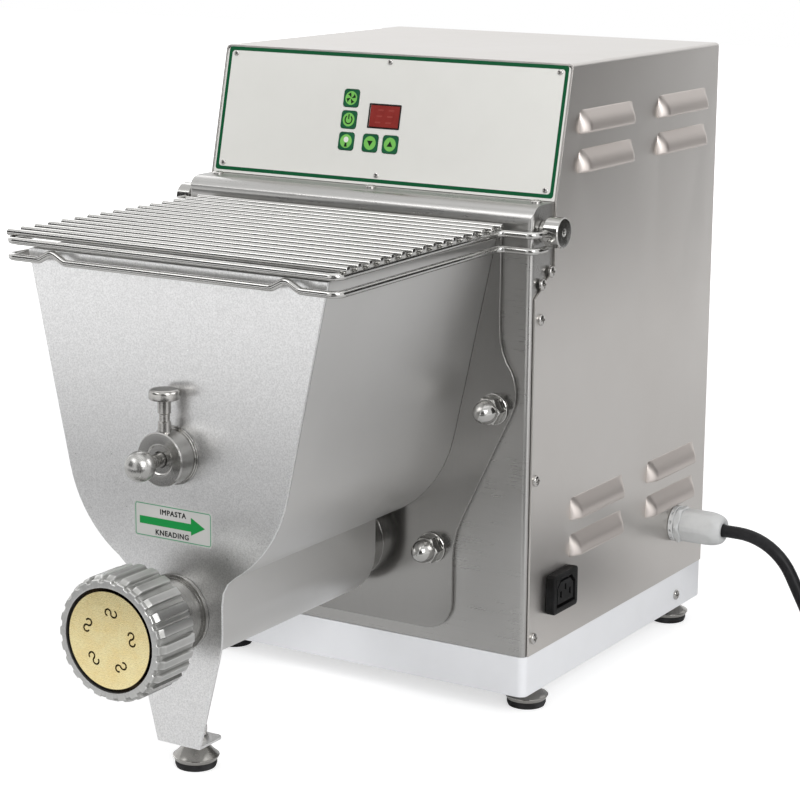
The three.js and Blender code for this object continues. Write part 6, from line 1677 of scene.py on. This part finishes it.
@dataclass
class DieAndNut(SubAssembly):
    """The bronze die with its curled slots, held by the ribbed ring nut."""

    centre: Point = (0.0, 0.0, AUGER_HEIGHT)
    ribs: int = 24
    rib_steps: int = 16
    rib_edge: float = 0.66
    rib_slope: float = 0.13
    die_radius: float = 33.2
    die_face: float = -292.5
    die_back: float = -280.6
    flange: float = 6.0
    slot_ring: float = 19.0
    slot_bend: float = 2.3
    slot_sweep: float = 255.0
    slot_steps: int = 14
    slot_half: float = 0.62
    slot_bearings: tuple[float, ...] = (12.0, 84.0, 156.0, 228.0, 300.0)
    nut: tuple[Point, ...] = (
        (36.3, 36.3, -255.4), (36.8, 36.8, -255.0), (40.0, 40.0, -255.0), (40.4, 40.7, -255.4), (40.4, 42.6, -256.6),
        (40.4, 43.0, -257.4), (40.4, 43.0, -286.8), (40.4, 42.7, -287.8), (40.2, 41.4, -289.8), (39.4, 40.9, -290.4),
        (39.2, 40.7, -292.4), (39.0, 40.4, -292.9), (38.6, 39.9, -293.2), (35.9, 35.9, -293.2), (35.5, 35.5, -293.0),
        (35.4, 35.4, -292.6), (35.4, 35.4, -286.9), (36.3, 36.3, -286.9),
    )

    def build(self) -> None:
        """Makes the die and the nut."""
        body = frame["nodes"]["die_disc"]["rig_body"]
        self.piece("curl_die", self._die(), DIE_METAL, "die_disc", body=body, smooth=20.0)
        angles = [TURN * k / (self.ribs * self.rib_steps) for k in range(self.ribs * self.rib_steps)]
        nut = Draft().rings([
            [across(Axis.Y, *polar(self._rib(a, root, crest), a), along, self.centre) for a in angles]
            for root, crest, along in self.nut
        ], looped=True)
        self.piece("ribbed_nut", nut, NUT_METAL, "ring_nut", body="nut", smooth=32.0)

    def _slot(self, bearing: float) -> list[Place]:
        """Gives the outline of one curled slot.

        Args:
            bearing: Its bearing about the die's axis, in degrees.

        Returns:
            The outline, across and up from the axis.
        """
        bend, steps = self.slot_bend, self.slot_steps
        swept = [self.slot_sweep * k / steps for k in range(steps + 1)]
        path = [Vector(polar(bend, math.radians(165.0 - degrees), (0.0, bend))) for degrees in swept]
        path += [Vector(polar(bend, math.radians(90.0 + degrees), (0.0, -bend))) for degrees in swept[1:]]
        aheads = [(after - before).normalized() for before, after in zip([path[0], *path], [*path[1:], path[-1]])]
        asides = [Vector((-ahead.y, ahead.x)) * self.slot_half for ahead in aheads]
        outline = [
            path[0] - aheads[0] * self.slot_half, *(point + aside for point, aside in zip(path, asides)),
            path[-1] + aheads[-1] * self.slot_half,
            *(point - aside for point, aside in reversed(list(zip(path, asides)))),
        ]
        turn = math.radians(bearing)
        spin, centre = Matrix.Rotation(turn, 2), Vector(polar(self.slot_ring, turn))
        return [tuple(spin @ point + centre) for point in reversed(outline)]

    def _die(self) -> Draft:
        """Draws the die, pierced by its slots.

        Returns:
            The die.
        """
        loops = [disc(self.die_radius, 96), *(self._slot(bearing) for bearing in self.slot_bearings)]
        plan = [point for loop in loops for point in loop]
        triangles, count = pierced(loops), len(plan)
        draft = Draft(
            [across(Axis.Y, *point, face, self.centre) for face in (self.die_face, self.die_back) for point in plan],
            triangles + [tuple(count + k for k in reversed(three)) for three in triangles],
        )
        start = 0
        for size in (len(loop) for loop in loops):
            draft.band(start, size, count + start, size)
            start += size
        inner, outer, back = self.die_radius - 0.4, self.die_radius + 2.4, self.die_back
        flange = [(inner, back), (outer, back), (outer, back - self.flange), (inner, back - self.flange)]
        return draft.lathe(flange, Axis.Y, self.centre, 96)

    def _rib(self, angle: float, root: float, crest: float) -> float:
        """Gives the nut's radius at a bearing.

        Args:
            angle: The bearing about the nut's axis.
            root: The radius between the ribs.
            crest: The radius on them.

        Returns:
            The radius there.
        """
        half = TURN / self.ribs / 2
        place = abs((angle + half) % (2 * half) - half) / half
        return root + (crest - root) * eased(min(1.0, max(0.0, (self.rib_edge - place) / self.rib_slope)))


class Drive(SubAssembly):
    """The gears, motor and bearings inside the housing."""

    def build(self) -> None:
        """Dresses the drive."""
        self.finish(MOTOR_METAL, "gearmotor", "gear_carrier")
        self.finish(GEAR_METAL, "motor_pinion", "mixer_gear", "auger_gear", "mixer_bearing", "auger_bearing")
        self.finish(MIXER_METAL, "mixer_drive_shaft")
        self.finish(RUBBER, "mixer_seal", "auger_seal")
        self.finish(WHITE_PLASTIC, "run_capacitor")


@dataclass
class ControlPanel(SubAssembly):
    """The leaning panel with its printed border, keys and display."""

    foot: Point = (0.0, 32.4, 378.6)
    head: Point = (0.0, 54.3, 473.5)
    half_width: float = 148.2
    border: Place = (1.4, 4.2)
    border_corner: float = 2.4
    key_proud: float = 0.5
    disc_radius: float = 5.1
    ink: float = 0.06
    display: Place = (-0.8, 50.7)
    display_half: Place = (12.9, 8.3)
    rim_width: float = 0.9
    rim_height: float = 0.35
    digit_half: float = 4.6
    digit_side: float = 3.1
    digit_lean: float = 0.18
    bar_width: float = 1.1
    screw: CrossHead = CrossHead(2.1, 0.9, 0.32, 1.25, 0.7)
    screw_columns: tuple[float, ...] = (-140.0, -1.5, 140.0)
    screw_rows: tuple[float, ...] = (7.0, 91.0)
    keys: tuple[tuple[str, float, float], ...] = (
        ("fan", -31.3, 62.6), ("power", -31.3, 46.5), ("lamp", -31.3, 30.4),
        ("down", -10.3, 30.4), ("up", 7.1, 30.4),
    )

    def spot(self, point: Vector) -> Vector:
        """Turns a point on the panel into the machine's place.

        Args:
            point: Its places across, up and out of the panel.

        Returns:
            The point.
        """
        up = (Vector(self.head) - Vector(self.foot)).normalized()
        out = Vector((1.0, 0.0, 0.0)).cross(up)
        return Vector(self.foot) + Vector((point.x, 0.0, 0.0)) + up * point.y + out * point.z

    def build(self) -> None:
        """Dresses the panel."""
        self.skin("control_panel", PANEL_PAINT, 0.15)
        self.skin("display_window", RED_WINDOW, 0.15)
        self._border()
        self._display()
        for x, y in product(self.screw_columns, self.screw_rows):
            screw = self.screw.draft().moved(lambda p, x=x, y=y: self.spot(p + Vector((x, y, 0.0))))
            self.piece(f"panel_screw_{x:.0f}_{y:.0f}", screw, SCREW_METAL)
        for name, x, y in self.keys:
            self._key(name, x, y)

    def _print(
        self, name: str, loops: Sequence[Profile], finish: Finish, body: str = "frame", low: float = 0.0
    ) -> None:
        """Prints flat shapes on the panel as thin raised layers of ink.

        Args:
            name: The print's name.
            loops: The shapes' outlines, across and up the panel.
            finish: The ink.
            body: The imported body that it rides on.
            low: The height of the surface that carries it.
        """
        draft = Draft()
        for loop in loops:
            draft.prism(loop, Axis.Z, low - self.ink, low + self.ink)
        self.piece(name, draft.moved(self.spot), finish, body=body)

    def _border(self) -> None:
        """Prints the border just inside the panel's edges."""
        half_height = (Vector(self.head) - Vector(self.foot)).length / 2
        outer, inner = self.border
        border = Draft().rim(Axis.Z, (0.0, half_height), (
            (self.half_width - inset, half_height - inset, self.border_corner, level)
            for inset, level in ((outer, -self.ink), (outer, self.ink), (inner, self.ink), (inner, -self.ink))
        ))
        self.piece("panel_border", border.moved(self.spot), BORDER_INK)

    def _display(self) -> None:
        """Makes the display's black rim, which stands in for the shade in the window's recess, and its unlit digits,
        whose uprights are lines without width.
        """
        (x, y), (wide, high) = self.display, self.display_half
        # A black rim all round the window: painted shade that stands in for the shadow in the window's recess.
        rim = Draft().rim(Axis.Z, self.display, (
            (wide + grow, high + grow, 0.6, level) for grow, level in (
                (0.0, -self.ink), (0.0, self.rim_height), (self.rim_width, self.rim_height),
                (self.rim_width, -self.ink),
            )
        ))
        self.piece("display_shade_rim", rim.moved(self.spot), BLACK_PLASTIC)
        bars = []
        for middle in (x - self.digit_half, x + self.digit_half):
            for rise in (-self.digit_half, 0.0, self.digit_half):
                level = self._bar(5.2)
                bars.append([(middle + self.digit_lean * rise + a, y + rise + b) for a, b in level])
            for side, row in product((-1, 1), (-1, 1)):
                ups = [self.digit_half / 2 * row + up for up, _ in self._bar(3.5)]
                bars.append([(middle + self.digit_side * side + self.digit_lean * up, y + up) for up in ups])
        self._print("display_digits", bars, DIGIT_RED)

    def _bar(self, length: float) -> Profile:
        """Gives one bar of a digit, pointed at both ends.

        Args:
            length: Its length.

        Returns:
            Its outline, along and across it.
        """
        half, side = length / 2, self.bar_width / 2
        flat = half - side
        return [(-half, 0), (-flat, -side), (flat, -side), (half, 0), (flat, side), (-flat, side)]

    def _key(self, name: str, x: float, y: float) -> None:
        """Makes one key with its printed disc and sign.

        Args:
            name: The key's name.
            x: Its place across the panel.
            y: Its place up the panel.
        """
        body = f"{name}_key"
        self.skin(f"key_{name}", KEY_PLASTIC, 0.15)
        self._print(f"key_disc_{name}", [disc(self.disc_radius, 48, (x, y))], KEY_DISC_INK, body, self.key_proud)
        for part, (loops, finish) in self._sign(name).items():
            shapes = [[(x + a, y + b) for a, b in loop] for loop in loops]
            self._print(f"{name}_{part}", shapes, finish, body, self.key_proud + self.ink)

    @staticmethod
    def _sign(name: str) -> dict[str, tuple[Sequence[Profile], Finish]]:
        """Gives the outlines of a key's sign.

        Args:
            name: The key's name.

        Returns:
            The sign's parts by name, each with its ink.
        """

        def swept(steps: int, radii: Place, degrees: Place) -> list[Place]:
            """Gives points about the key's middle.

            Args:
                steps: How many steps they are apart from end to end.
                radii: The first and the last radius.
                degrees: The first and the last bearing.

            Returns:
                The points.
            """
            (near, far), (start, end) = radii, degrees
            shares = [k / steps for k in range(steps + 1)]
            return [polar(near + (far - near) * s, math.radians(start + (end - start) * s)) for s in shares]

        if name == "fan":
            blades = [
                swept(6, (0.7, 4.2), (start, start + 8.0)) + swept(6, (4.2, 0.7), (start + 52.0, start + 30.0))
                for start in (0.0, 90.0, 180.0, 270.0)
            ]
            return {"blades": (blades, SIGN_INK)}
        if name == "power":
            ring = swept(28, (3.5, 3.5), (125.0, 415.0)) + swept(28, (2.5, 2.5), (415.0, 125.0))
            return {"ring": ([ring, box_corners(-0.5, 0.5, 0.4, 4.2)], SIGN_INK)}
        if name == "lamp":
            stem = [(-1.2, -4.2), (1.2, -4.2), (0.8, -1.2), (-0.8, -1.2)]
            return {"ball": ([disc(2.1, 28, (0.0, 1.2))], LAMP_INK), "stem": ([stem], SIGN_INK)}
        side = 1.0 if name == "up" else -1.0
        return {"arrow": ([[(-2.5, -1.7 * side), (2.5, -1.7 * side), (0.0, 2.5 * side)]], SIGN_INK)}


def main() -> None:
    """Builds the scene, sub-assembly by sub-assembly."""
    logging.basicConfig(level=logging.INFO, format="%(name)s: %(message)s")
    bpy.context.scene.view_settings.view_transform = "Standard"
    for part in (
        Viewpoint(), MainsCable(), Studio(), Housing(), Screws(), Feet(), ControlPanel(), WireLid(), Tub(),
        TurnLabel(), Pivot(), DieAndNut(), Drive(),
    ):
        part.build()


if __name__ == "__main__":
    main()
